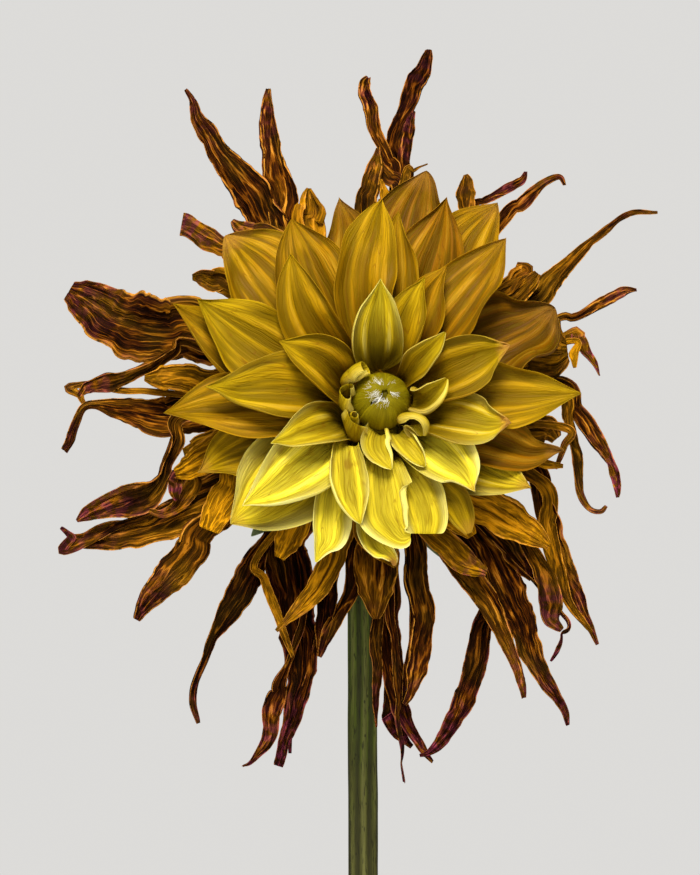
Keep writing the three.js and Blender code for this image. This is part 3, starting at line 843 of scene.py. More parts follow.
@dataclass(frozen=True)
class PetalFinish(Finish):
    """The finish of living petal tissue, which turns from lemon to amber as it ages, with painted shade in its hollows
    and creases and painted highlights on its crests and margins.
    """

    tip: Triple
    middle: Triple
    # The colour at the base, partly the floret's own and partly painted shade of the hollow there.
    root: Triple
    # The amber of old florets, which also paints shade on the upper florets.
    aged_and_shaded: Triple
    # The pale cream of the painted highlights on crests and margins.
    rim: Triple
    # The lemon of young florets, also used to paint light on the lower florets and as pale streaks towards the tips.
    lemon: Triple
    # The golden painted highlight on the crests of older florets.
    aged_highlight: Triple
    mark: Triple
    browned: Triple
    roughness: float
    veins: float
    relief: float

    def skin(self, nodes: Nodes, grain: Tree) -> Inputs:
        """Lays the skin out over the shared lengthwise grain."""
        uv, across, along, crest, age, blush, tone = nodes.sheet()
        veins, streaks, marks, height = nodes.lines(grain, uv, self.veins, 0.1)
        patch = nodes.noise(uv, 0.9, 3.0, 0.6) - 0.5
        # Darker towards the root: partly the floret's own colour, partly painted shade in the hollow at its base.
        colour = nodes.ramp(along + patch * 0.5, ((0.14, self.root), (0.5, self.middle), (0.9, self.tip)))
        # Florets aged below 0, the lower ones that face the key light, wash to lemon towards their tips: painted
        # light, partly the paler tissue of young florets.
        colour = nodes.blend((age * -1.1).held() * nodes.band(along, -0.1, 0.4), colour, self.lemon)
        # Older florets turn amber; the upper ones, which face away from the light, are aged further, which is painted
        # shade.
        aged_and_shaded_share = age + patch * 0.6 + (tone - 0.5) * 0.25
        colour = nodes.blend((aged_and_shaded_share * 0.95).held(), colour, self.aged_and_shaded)
        # Painted shade in the valleys between the crests.
        colour = nodes.dim(colour, nodes.band(crest, -0.7, 0.4, 0.44, 1.0))
        colour = nodes.blend(veins * 0.55, colour, tint(self.middle, 0.45))
        # How far a floret is past youth; 0 also marks the lower florets that are painted lighter.
        youth_and_light = nodes.band(age, -0.1, 0.4)
        # Pale lemon streaks towards the tips of the younger florets: the tissue's own streaks and a painted highlight
        # where these florets catch the light.
        pale = streaks * nodes.band(along, 0.3, 1.0, 0.0, 0.22) * (1.0 - youth_and_light)
        # Painted highlight along the crests: pale cream on young florets, golden on older ones.
        lit = nodes.band(crest, 0.4, 1.0) * nodes.band(along, 0.1, 0.5, 0.0, 0.26)
        # Painted highlight along the margins, strongest on the young lower florets.
        edge = nodes.band(abs(across), 0.5, 1.0) * nodes.band(along, 0.3, 0.9)
        for share, hue in (
            (pale, self.lemon),
            (lit, nodes.blend(youth_and_light, self.rim, self.aged_highlight)),
            (marks * 0.5, self.mark),
            ((edge * (0.3 - age * 0.9)).held(), self.rim),
            (nodes.band(along + patch * 0.16, 0.86, 0.98) * blush, self.browned),
        ):
            colour = nodes.blend(share, colour, hue)
        # Painted shade: florets aged past 0.7, mostly upper ones that face away from the light, are darkened.
        return {
            "Base Color": nodes.dim(colour, 1.0 - (age - 0.7).held() * 0.7),
            "Roughness": veins * 0.12 + self.roughness,
            "Normal": nodes.relief(height, 0.8, self.relief),
            "Subsurface Weight": 0.1,
            "Subsurface Radius": (1.0, 0.7, 0.05),
            "Subsurface Scale": 1.0 * MM,
            "Specular IOR Level": 0.05,
        }


@dataclass(frozen=True)
class DryFinish(Finish):
    """The finish of withered petal tissue: bright ridges and dark valleys, partly its own streaks and partly painted
    highlight and shade, painted highlights on thin margins, purple margins, and painted shade on the florets that hang
    far back.
    """

    # The valleys' colour, partly painted shade.
    valley: Triple
    flank: Triple
    ridge: Triple
    # The golden crown of the ridges, partly painted highlight; also the painted highlight on the margins.
    crown: Triple
    turning: Triple
    olive: Triple
    purple: Triple
    roughness: float
    ridges: float
    relief: float

    # Painted shade: past an age of 1, as on the florets that hang far back, a floret darkens first to a cold brown,
    # and at last to black.
    HINDMOST_SHADE_STOPS = ((0.0, BLACK), (0.5, (0.55, 0.46, 0.42)), (1.0, WHITE))

    def skin(self, nodes: Nodes, wrinkles: Tree) -> Inputs:
        """Lays the skin out over the shared wrinkles."""
        uv, across, along, crest, age, blush, tone = nodes.sheet()
        across = abs(across)
        ridge, height = nodes.lines(wrinkles, uv, self.ridges, 0.09)
        patch = nodes.noise(nodes.stretch(uv, 1.4, 0.5), 1.0, 2.0, 0.6)
        drift = nodes.noise(nodes.stretch(uv, 0.9, 0.5), 1.0)
        fringe = nodes.noise(uv, 2.4, 3.0, 0.6)
        # Brightness across the ridges: the wrinkle lines and fold crests are lighter and the valleys darker, partly
        # the tissue's own streaks and partly painted highlight and shade.
        level = crest * 0.13 + 0.25 + (ridge - 0.3) * 0.5 + (patch - 0.5) * 0.4 + (tone - 0.5) * 0.14
        young = 1.0 - age + (patch - 0.55) * 0.6
        # Painted highlight along the thin margins.
        edge_highlight = nodes.band(across, 0.9, 0.98, 0.0, 0.8) * nodes.band(fringe, 0.38, 0.52)
        edge = nodes.band(across, 0.75, 1.0, 0.0, 0.7) + nodes.band(along, 0.72, 1.0)
        edge = (edge * nodes.band(fringe, 0.42, 0.62) * blush).held()
        stops = ((0.08, self.valley), (0.33, self.flank), (0.58, self.ridge), (0.92, self.crown))
        colour = nodes.ramp(level, stops)
        for share, hue in (
            (nodes.band(drift, 0.48, 0.68, 0.0, 0.6), nodes.lit(level, 0.1, 0.8, self.olive, 0.12)),
            ((young * 1.15).held(), nodes.lit(level, 0.0, 0.62, self.turning, 0.22)),
            (edge_highlight, self.crown),
        ):
            colour = nodes.blend(share, colour, hue)
        # Painted shade on the florets that hang far back.
        colour = nodes.dim(colour, 1.0 - (age - 1.0).held(), self.HINDMOST_SHADE_STOPS)
        return {
            "Base Color": nodes.blend(edge * 0.85, colour, nodes.lit(level, 0.1, 0.9, self.purple, 0.16)),
            "Roughness": patch * 0.2 + self.roughness,
            "Normal": nodes.relief(height, 0.9, self.relief),
            "Specular IOR Level": 0.02,
            "Subsurface Weight": 0.05,
            "Subsurface Radius": (1.0, 0.4, 0.1),
            "Subsurface Scale": 1.0 * MM,
        }


@dataclass(frozen=True)
class StemFinish(Finish):
    """The skin of the stem and the bracts: green ribs, paler on their crests as a painted highlight and darker in the
    grooves as painted shade, long dark streaks and small spots.
    """

    fresh: Triple
    faded: Triple
    # The painted highlight on the rib crests.
    pale: Triple
    # The dark of the streaks, veins and spots, and of the painted shade in the grooves.
    streak_and_shade: Triple
    roughness: float
    fade: Pair

    def skin(self, nodes: Nodes, grain: Tree) -> Inputs:
        """Lays the skin out over the shared lengthwise grain."""
        uv, _, along, rib, *_ = nodes.sheet()
        veins, _, _, height = nodes.lines(grain, uv, 16.0, 0.06)
        patch = nodes.noise(nodes.stretch(uv, 1.6, 0.5), 1.0, 3.0, 0.6)
        marks = nodes.noise(nodes.stretch(uv, 15.0, 1.6), 1.0, 3.0, 0.6)
        spots = nodes.add("ShaderNodeTexVoronoi", {"Vector": nodes.stretch(uv, 3.2, 1.5), "Scale": 1.0}, feature="F1")
        colour = nodes.blend(nodes.band(along + (patch - 0.5) * 0.3, *self.fade), self.faded, self.fresh)
        for share, hue in (
            # Painted highlight on the rib crests and painted shade in the grooves between them.
            (nodes.band(rib, 0.1, 0.9, 0.0, 0.55), self.pale),
            (nodes.band(rib, -0.8, 0.3, 0.7, 0.0), self.streak_and_shade),
            (nodes.band(marks, 0.56, 0.64, 0.0, 0.75), self.streak_and_shade),
            (veins * 0.5, self.streak_and_shade),
            (nodes.band(nodes.out(spots, "Distance"), 0.06, 0.11, 0.75, 0.0), tint(self.streak_and_shade, 0.6)),
        ):
            colour = nodes.blend(share, colour, hue)
        return {
            "Base Color": colour,
            "Roughness": nodes.band(patch, 0.3, 0.7, self.roughness - 0.06, self.roughness + 0.1),
            "Normal": nodes.relief(height, 0.6, 0.14),
            "Specular IOR Level": 0.18,
            "Subsurface Weight": 0.06,
            "Subsurface Radius": (0.6, 1.0, 0.3),
            "Subsurface Scale": 1.0 * MM,
        }


@dataclass(frozen=True)
class ClearFinish(Finish):
    """Clear glass or water."""

    colour: Triple
    roughness: float
    ior: float
    ripple: float

    def skin(self, nodes: Nodes) -> Inputs:
        """Lays out a clear skin with a faint ripple."""
        return {
            "Base Color": self.colour,
            "Roughness": self.roughness,
            "IOR": self.ior,
            "Transmission Weight": 1.0,
            "Normal": nodes.relief(nodes.noise(nodes.place(), 38.0, 1.0), 0.3, self.ripple),
        }


@dataclass(frozen=True)
class MottledFinish(Finish):
    """A plain surface with a faint mottle between two colours: the silky hairs, and the floor."""

    low: tuple[float, Triple]
    high: tuple[float, Triple]
    scale: float
    detail: float
    roughness: float

    def skin(self, nodes: Nodes) -> Inputs:
        """Lays out the mottled skin."""
        mottle = nodes.noise(nodes.place(), self.scale, self.detail)
        return {"Base Color": nodes.ramp(mottle, (self.low, self.high)), "Roughness": self.roughness}


class FreshRow(NamedTuple):
    """A fresh floret as seen from straight in front.

    It has its tip's place and height over the disc, its flattened width, the half arc across it in degrees,
    how old and how dried it is, where an age below 0 paints light and a high age paints shade, how blunt
    its end is, and how far its middle bows to the left of its length, in millimetres.
    """

    x: float
    z: float
    lift: float
    width: float
    cup: float
    age: float = 0.1
    blush: float = 0.0
    blunt: float = 0.0
    bow: float = 0.0


@dataclass(frozen=True)
class FreshRing:
    """One ring of fresh florets, which root and lean alike."""

    root_radius: float
    root_height: float
    leans: Pair
    crest_angle: float
    rim_curl: float
    fullness: float
    florets: tuple[FreshRow, ...]


def fresh_outline(width: float, blunt: float) -> Profile:
    """The outline of a fresh floret.

    Args:
        width: Its greatest width.
        blunt: How full its end is, from 0, drawn to a point, to 1, rounded.

    Returns:
        The width at each share of the length.
    """
    rise, fall = 0.95, 1.15 - 0.6 * blunt
    peak = rise / (rise + fall)
    scale = width / (peak**rise * (1 - peak) ** fall)
    return lambda s: 0.2 * width * (1 - s) ** 3 + scale * s**rise * (1 - s) ** fall


def panels(v: Array, crests: Sequence[float], edge: float) -> Array:
    """The saw of angles that hollows each panel of a petal between its lengthwise crests.

    Args:
        v: Places across, from -1 to 1.
        crests: Where the crests run.
        edge: How wide a crest is.

    Returns:
        The share of the hollow's angle at each place, from -1 to 1.
    """
    bounds = np.array([-1.0, *crests, 1.0])
    index = np.clip(np.searchsorted(bounds, v, side="right") - 1, 0, len(bounds) - 2)
    low, high = bounds[index], bounds[index + 1]
    saw = 2 * (v - low) / (high - low) - 1
    for crest in crests:
        saw = saw * (1 - np.exp(-(((v - crest) / edge) ** 2)))
    return saw


def margin(start: float, v: Array) -> Array:
    """How near a place across is to a margin, past a start, with the sign of its side."""
    return smooth(start, 1.0, np.abs(v)) * np.sign(v)


INNER_RING = FreshRing(
    root_radius=12.6, root_height=2.0, leans=(24, 78), crest_angle=30, rim_curl=30, fullness=1.16,
    florets=(
        FreshRow(0.4, 38.4, 24, 19.5, 46, -0.15, bow=1.2), FreshRow(-33, 18.5, 24, 21, 52, 0.4, bow=-1.5),
        FreshRow(-56.6, 2.4, 20, 23.5, 50, 0.3, bow=-1.5), FreshRow(-35, -15, 22, 17, 56, -0.1),
        FreshRow(-44, -35, 16.4, 26, 44, -0.9), FreshRow(31.5, -28.5, 16, 22, 44, -0.9, 0.5),
        FreshRow(41, -9.5, 17, 22, 48, 0.05, 1.0, 0.4), FreshRow(40.5, 18, 20, 23, 48, 0.3, 1.0, 0.3),
        FreshRow(13.5, 39.5, 20, 15, 52, 0.35, bow=1.5),
    ),
)
MIDDLE_RING = FreshRing(
    root_radius=14.4, root_height=0.3, leans=(46, 86), crest_angle=20, rim_curl=24, fullness=1.24,
    florets=(
        FreshRow(1.5, 64, 17, 19, 40, 0.5, 0.0, 0.5, 6.0), FreshRow(-29.5, 46.5, 19, 18, 44, 0.45, 0.0, 0.3, 6.0),
        FreshRow(-59, 32.5, 15, 24, 40, 0.4, 0.0, 0.2, 4.2), FreshRow(-70, -4, 11, 23, 36, 0.75, bow=-1.0),
        FreshRow(64, 2, 12, 20.5, 36, 0.4), FreshRow(40.5, 51.5, 14, 20.5, 38, 0.8, 0.2, 0.3),
        FreshRow(20, 43.5, 16.5, 16, 42, 0.7), FreshRow(57, -20.5, 7, 18, 40, 1.0, 1.0),
    ),
)
OUTER_RING = FreshRing(
    root_radius=15.8, root_height=-1.6, leans=(62, 94), crest_angle=20, rim_curl=22, fullness=1.3,
    florets=(
        FreshRow(-29.5, 57.6, 9, 24, 32, 0.75, 0.0, 0.4, 1.5), FreshRow(-67, 30.5, 8, 24, 32, 0.6, bow=4.5),
        FreshRow(-60, -22, 4, 22, 34, 0.5, 0.5), FreshRow(-48, -41, 5, 27, 32, -0.3, 0.3, 0.3),
        FreshRow(47.5, -29.5, 6, 20, 34, 0.05, 0.6), FreshRow(35.5, 63.8, 5, 25, 32, 0.7, 0.3, 0.3),
        FreshRow(22, 64.5, 9.5, 24, 32, 0.95), FreshRow(12.5, 73.5, 3.5, 27, 30, 1.1, 0.5, 0.5),
        FreshRow(57, 27, 5, 29, 26, 1.25, 0.5, 0.7), FreshRow(-12, 65, 5, 23, 30, 1.0, 0.5),
        FreshRow(-49.5, 53, 6, 29, 30, 0.65, 0.6, 0.6), FreshRow(5.6, 60.5, 11, 17, 34, 0.75),
    ),
)
RINGS = {"inner": INNER_RING, "middle": MIDDLE_RING, "outer": OUTER_RING}


class Petal(NamedTuple):
    """A petal that waits for its turn: its piece, how far it stands out, its shape and its number."""

    piece: str
    lift: float
    blade: Blade
    number: int


@dataclass
class FreshFlorets:
    """The yellow rings of the bloom."""

    crest_places: Pair = (-0.44, 0.4)
    crest_width: float = 0.07

    def petals(self) -> list[Petal]:
        """Shapes the florets of the three rings."""
        shaped = []
        for first, (name, ring) in enumerate(RINGS.items()):
            for number, row in enumerate(ring.florets, 100 * first):
                shaped.append(Petal(f"fresh_florets_{name}", row.lift, self.floret(ring, row, number), number))
        return shaped

    def floret(self, ring: FreshRing, row: FreshRow, seed: int) -> Blade:
        """Shapes one floret.

        Args:
            ring: The ring that it stands in.
            row: Its own place and size.
            seed: What its small differences are drawn from.

        Returns:
            The floret.
        """
        tip = BLOOM.seen_point(row.x, row.z, row.lift)
        azimuth = BLOOM.azimuth_of(tip)
        root = BLOOM.polar_point(azimuth, ring.root_radius, ring.root_height)
        draw = np.random.default_rng(seed)
        wave, fine = Wander(seed), Wander(seed + 50)
        crests = [place + draw.uniform(-0.07, 0.07) for place in self.crest_places]
        curls = draw.uniform(0.2, 1.6, 2)
        arcs = draw.uniform(0.7, 1.3, 2)
        sway = radians(draw.uniform(-14, 14))
        flat = row.width * ring.fullness / 2
        length = float(np.linalg.norm(tip - root))

        def angle(s: Array, v: Array) -> Array:
            """The angle of each step across the floret."""
            pinch = mix(1.2, 0.75, s) + 0.5 * smooth(0.84, 1.0, s)
            cup = radians(row.cup) * np.where(v < 0, *arcs) * pinch * v
            hollow = radians(ring.crest_angle) * smooth(0.02, 0.35, s) * (1 + 0.4 * wave.at(s * 3, 9))
            bent = v + 0.07 * wave.at(s * 2, 60)
            saw = hollow * panels(bent, crests, self.crest_width)
            curl = radians(ring.rim_curl) * np.where(v < 0, *curls) * smooth(0.1, 0.5, s) * margin(0.66, v)
            curl = curl * (1 + 0.8 * wave.at(s * 4, 5))
            flutter = radians(16 + 30 * row.age) * wave.at(s * length / 11 + 3 * (v > 0), v * 2.2 + 20) * np.abs(v)
            ribs = radians(11 + 9 * row.age) * np.tanh(1.8 * fine.at(bent * flat / 1.5 + 30, s * length / 30))
            folds = radians(9 + 14 * row.age) * wave.at(bent * flat / 4 + 70, s * length / 26)
            return cup + saw + curl + flutter + ribs + folds

        def dents(s: Array, v: Array) -> Array:
            """Soft dents, in millimetres, and the crumpled end of a floret that has begun to dry."""
            soft = (0.4 + 0.5 * row.age) * wave.at(v * 1.6 + 80, s * length / 9)
            dried = 0.8 * row.blush * smooth(0.84, 0.97, s) * wave.at(v * 3 + 90, s * 26)
            return smooth(0.1, 0.4, s) * soft + dried

        return Blade(
            course=self.hooked(BLOOM.arched(root, tip, azimuth, ring.leans), azimuth, row, draw),
            width=fresh_outline(row.width * ring.fullness, row.blunt),
            angle=angle,
            turn=lambda s: sway * s,
            crumple=dents,
            tissue=Tissue(row.age, row.blush),
            rows=50,
            columns=32,
        )

    @staticmethod
    def hooked(course: Course, azimuth: float, row: FreshRow, draw: np.random.Generator) -> Course:
        """Bends a floret's end a little aside, and more where it has dried.

        Args:
            course: The plain spine.
            azimuth: The clock place of the floret, in radians.
            row: The floret.
            draw: What the bend is drawn from.

        Returns:
            The bent spine.
        """
        share = np.linspace(0.0, 1.0, 80)
        aside = BLOOM.up * cos(azimuth) - BLOOM.right * sin(azimuth)
        bend = draw.uniform(-1.6, 1.6) + 2.2 * row.blush * draw.choice([-1, 1])
        lift = draw.uniform(-0.5, 1.6) + 2.0 * row.blush
        hook = smooth(0.72, 1.0, share)[:, None] ** 1.5
        belly = ((row.bow + draw.uniform(-0.8, 0.8)) * np.sin(share * pi))[:, None]
        return Course(course.at(share) + hook * (aside * bend + BLOOM.axis * lift) + belly * aside)


class Side(Enum):
    """Where an old floret hangs, as seen from the front."""

    UPPER = "upper"
    LEFT = "left"
    LOWER = "lower"
    RIGHT = "right"
    TURNING = "turning"


class WitheredRow(NamedTuple):
    """An old floret, in millimetres and degrees.

    It has its twist at root and tip, how crushed it is, its tissue, and how deep behind the disc it starts
    and ends. A stop is a place as seen from straight in front (x, z) and the breadth there.
    """

    turn: Pair
    crush: float
    tissue: Tissue
    depth: Pair
    stops: tuple[Triple, ...]


def old(turn: Pair, state: Triple, depth: Pair, *stops: Triple) -> WitheredRow:
    """Notes one old floret, by its twist, how crushed, blushed and aged it is, its depth and its stops."""
    crush, blush, age = state
    return WitheredRow(turn, crush, Tissue(age, blush), depth, stops)


UPPER_ROWS = (
    old((8, 20), (0.8, 0.3, 0.95), (15, 17), (-35.5, 54.5, 12), (-41.5, 66, 11.5), (-47.5, 74, 9.5), (-54, 82, 7),
        (-59, 89.5, 5.5), (-61, 97, 2), (-63, 101, 1)),
    old((-8, 12), (0.8, 0.3, 0.95), (13, 20), (-30.5, 54.5, 9.5), (-32, 64.5, 9.5), (-34, 73, 8), (-35.5, 81, 6.5),
        (-36.5, 89, 6), (-36.5, 96.5, 4), (-36, 101, 1.5)),
    old((0, 0), (0.45, 0.8, 0.7), (12, 12), (-46, 45, 7), (-52.5, 49.5, 7), (-58, 53.5, 7.5), (-62.5, 56, 7.5),
        (-64.5, 56.5, 7.5)),
    old((0, 0), (1.2, 0.5, 0.7), (8, 8), (-34, 50, 7.5), (-41.5, 54, 7.5), (-46, 55.5, 6), (-48.5, 57.5, 1.5)),
    old((0, 20), (1.2, 0.2, 0.6), (8, 8), (-47.5, 36.5, 7.5), (-54.5, 38.5, 7), (-58.5, 39.5, 5), (-61, 39.5, 2)),
    old((0, 0), (1.3, 0.1, 0.5), (6, 5), (-23, 53, 11.5), (-23, 60, 10), (-23.5, 64.5, 6.5), (-23.5, 68, 1.5)),
    old((0, 15), (0.9, 0.2, 0.9), (18, 22), (5.5, 70.5, 4.5), (4, 82, 5), (6, 89, 5), (8.5, 95.5, 5.5),
        (10.5, 102, 6.5), (14, 107.5, 5.5), (15.5, 111.5, 4), (16, 114, 2)),
    old((-20, 0), (0.9, 0.6, 0.9), (15, 17), (7.5, 68, 4), (7.5, 75.5, 4.5), (8.5, 82.5, 4.5), (9.5, 88.5, 3.5),
        (10.5, 94, 1)),
    old((0, 0), (0.9, 0.3, 0.9), (13, 18), (5, 69, 4), (1.5, 78.5, 4), (-1.5, 87, 4), (-3, 94, 4.5), (-5, 99, 4.5),
        (-5, 102.5, 4), (-4, 104.5, 1.5)),
    old((0, 10), (1, 0.2, 0.8), (10, 12), (-5.5, 60, 6.5), (-4, 68.5, 6.5), (-2, 76, 5), (-1, 82, 1.5)),
    old((10, 0), (1, 0.2, 0.9), (11, 13), (6.5, 64.5, 5), (3, 71.5, 6), (-0.5, 76, 4), (-1.5, 80, 1.5)),
    old((0, 0), (1.3, 0.1, 0.4), (8, 7), (1.5, 59.5, 6), (1, 66, 5.5), (-0.5, 71, 2.5)),
    old((0, 0), (0.8, 0.1, 0.7), (9, 8), (7.5, 70.5, 2.5), (11, 74, 1.5), (15.5, 76, 0.5)),
    old((0, 0), (0.9, 0.1, 0.7), (10, 9), (28.5, 54.5, 5), (28, 61.5, 5), (27.5, 67, 6), (27.5, 70.5, 3.5),
        (27, 72.5, 1)),
    old((10, 30), (0.9, 0.6, 0.8), (17, 19), (27, 57.5, 4.5), (34, 64, 5), (40.5, 68.5, 4.5), (45, 70.5, 3),
        (46.5, 73.5, 1)),
    old((0, 20), (0.9, 0.3, 0.9), (14, 15), (39, 56.5, 5), (45, 62.5, 4.5), (49, 67, 4), (53.5, 70, 3),
        (57.5, 71.5, 2.5), (59, 69, 1.5)),
)
LEFT_ROWS = (
    old((-6, 8), (0.62, 0.4, 0.95), (14, 15), (-59, 22, 19), (-69, 22.5, 21), (-78, 23.5, 21), (-86, 26.5, 20),
        (-92.5, 30, 17.5), (-98, 33.5, 12), (-100.5, 35, 6.5)),
    old((20, 40), (1, 0.5, 0.9), (10, 18), (-60.5, 18, 4), (-67, 15.5, 4), (-73.5, 11, 4), (-80.5, 8, 5),
        (-87.5, 6, 6.5), (-92.5, 5, 5), (-95.5, 4, 4), (-97.5, 1.5, 2)),
    old((0, 0), (0.8, 0.2, 0.7), (18, 19), (-95, 4.5, 2.5), (-97, 1.5, 2.5), (-95.5, -1.5, 1)),
    old((0, 0), (0.7, 0.1, 0.45), (9, 9), (-56, 6, 9.5), (-63.5, 6.5, 10.5), (-70.5, 7, 7.5), (-76.5, 7.5, 2)),
    old((0, 20), (0.8, 0.3, 0.95), (16, 20), (-60.5, -4.5, 13), (-69, -6, 13.5), (-77, -4, 10), (-85, -2.5, 6.5),
        (-91.5, -1.5, 3), (-95.5, -2.5, 2.5), (-98, -7, 3), (-100, -12, 4), (-102.5, -16.5, 3)),
    old((30, 0), (0.95, 0.8, 0.9), (8, 12), (-62.5, -4.5, 4.5), (-66, -13.5, 6), (-69, -20.5, 4), (-70.5, -25.5, 5),
        (-75, -30.5, 11), (-82, -33, 10), (-88.5, -34.5, 7), (-94, -36.5, 5), (-97.5, -38.5, 1)),
    old((0, 20), (1, 0.5, 0.8), (10, 11), (-56, -22, 6), (-60.5, -28, 6), (-65.5, -34, 4.5), (-70.5, -36.5, 3),
        (-74.5, -35.5, 1.5)),
    old((0, 0), (1, 0.9, 0.9), (7, 8), (-62.5, -23, 4.5), (-65.5, -26, 4.5), (-66, -30, 4), (-65.5, -32.5, 1.5)),
    old((-8, 8), (0.75, 0.3, 0.85), (15, 17), (-56, -32.5, 13), (-65.5, -38, 11.5), (-74, -42, 10), (-83.5, -43.5, 10),
        (-90.5, -44, 8.5), (-95.5, -45, 5.5), (-99, -44.5, 2.5)),
    old((10, 30), (0.8, 0.9, 0.9), (16, 17), (-96.5, -46, 2.5), (-100, -44.5, 2.5), (-103.5, -41.5, 1)),
    old((10, -10), (0.75, 0.4, 0.9), (15, 22), (-55.5, -40.5, 10), (-61, -48.5, 10), (-66.5, -55, 11),
        (-72.5, -61.5, 9), (-76, -66, 5), (-78.5, -70.5, 2)),
)
LOWER_ROWS = (
    old((10, 40), (0.8, 0.4, 0.9), (16, 30), (-37.5, -45.5, 4.5), (-42, -55, 9), (-46.5, -63.5, 9.5), (-51, -70, 6.5),
        (-54, -76.5, 3), (-56, -82, 3.5), (-59, -88.5, 3), (-60, -94, 3.5), (-60, -99, 3), (-58.5, -104.5, 2)),
    old((30, 30), (0.6, 0.1, 0.5), (12, 20), (-40, -50.5, 2.5), (-38, -58, 3), (-35, -66, 3), (-31.5, -76, 2.5),
        (-29, -82, 1.5)),
    old((0, 15), (0.7, 0.9, 0.95), (20, 33), (-30.5, -44, 14), (-30, -55, 14.5), (-28, -65.5, 14), (-26, -77.5, 12),
        (-25.5, -87, 10), (-26.5, -94, 7.5), (-29, -101.5, 6), (-31.5, -109.5, 4), (-33, -117.5, 3)),
    old((20, 40), (0.9, 1, 0.9), (29, 34), (-24.5, -91.5, 3), (-26, -100, 2.5), (-28.5, -107, 2), (-29, -113.5, 1)),
    old((20, 40), (0.9, 0.7, 0.8), (24, 36), (-30.5, -85, 2.5), (-32.5, -93.5, 4.5), (-35, -100, 5), (-36, -106, 4.5),
        (-38.5, -112, 3), (-42, -117, 1.5), (-44.5, -118, 0.5)),
    old((-10, -20), (0.8, 0.3, 0.35), (9, 12), (-14, -44, 9.5), (-16.5, -53.5, 9), (-20, -60, 7), (-25, -65.5, 5),
        (-29, -70, 3), (-33.5, -74, 1)),
    old((-10, 0), (0.8, 0.2, 0.75), (16, 22), (-9.5, -50, 4), (-10, -61, 5), (-14, -68.5, 5), (-17, -76, 4),
        (-20, -83, 1)),
    old((10, 0), (0.8, 0.2, 0.85), (18, 24), (-16.5, -52, 6.5), (-18, -64.5, 6.5), (-19, -74, 4.5), (-20, -81.5, 1.5)),
    old((0, 0), (0.65, 0.1, 0.85), (9, 14), (-1.5, -44, 13), (-1.5, -53.5, 13.5), (-1.5, -61.5, 11.5),
        (-1.5, -67, 5.5), (-1.5, -70, 2)),
    old((10, 30), (0.9, 0.4, 0.9), (17, 25), (-1, -61.5, 4), (-1.5, -77.5, 4), (-1.5, -90, 3.5), (-1.5, -98, 3),
        (-1.5, -105.5, 1)),
    old((0, 20), (0.85, 0.8, 0.9), (20, 34), (1.5, -48.5, 7.5), (2, -64.5, 8.5), (2, -77.5, 7.5), (4, -90, 7.5),
        (6.5, -100, 7), (10, -108, 4.5), (13, -113.5, 3), (16, -116.5, 1.5)),
    old((20, 60), (0.9, 1, 0.9), (32, 34), (3, -96.5, 3), (3, -102.5, 3), (6.5, -107.5, 3), (10, -111.5, 1.5)),
    old((10, 60), (0.9, 1, 0.9), (15, 31), (4, -84, 3), (5, -100, 3), (6, -108, 3), (6.5, -113.5, 3.5), (6, -119, 3),
        (6.5, -123.5, 1.5)),
    old((0, 20), (0.8, 0.2, 0.9), (14, 25), (10, -42, 6), (11, -56.5, 6.5), (13, -69.5, 6.5), (12.5, -79, 7),
        (11, -87.5, 6.5), (9.5, -93.5, 3), (7.5, -98, 1.5)),
    old((20, 40), (0.8, 0.2, 0.85), (17, 26), (8, -48.5, 2.5), (9.5, -64.5, 3), (9.5, -77.5, 3), (7.5, -87, 3),
        (7, -96.5, 1.5)),
    old((0, 20), (0.85, 0.9, 0.9), (25, 32), (34, -58, 6), (32, -74, 6.5), (30, -84, 7.5), (27.5, -93.5, 7.5),
        (23, -102.5, 7), (19, -109.5, 5), (15, -113, 2), (12, -114, 1)),
)
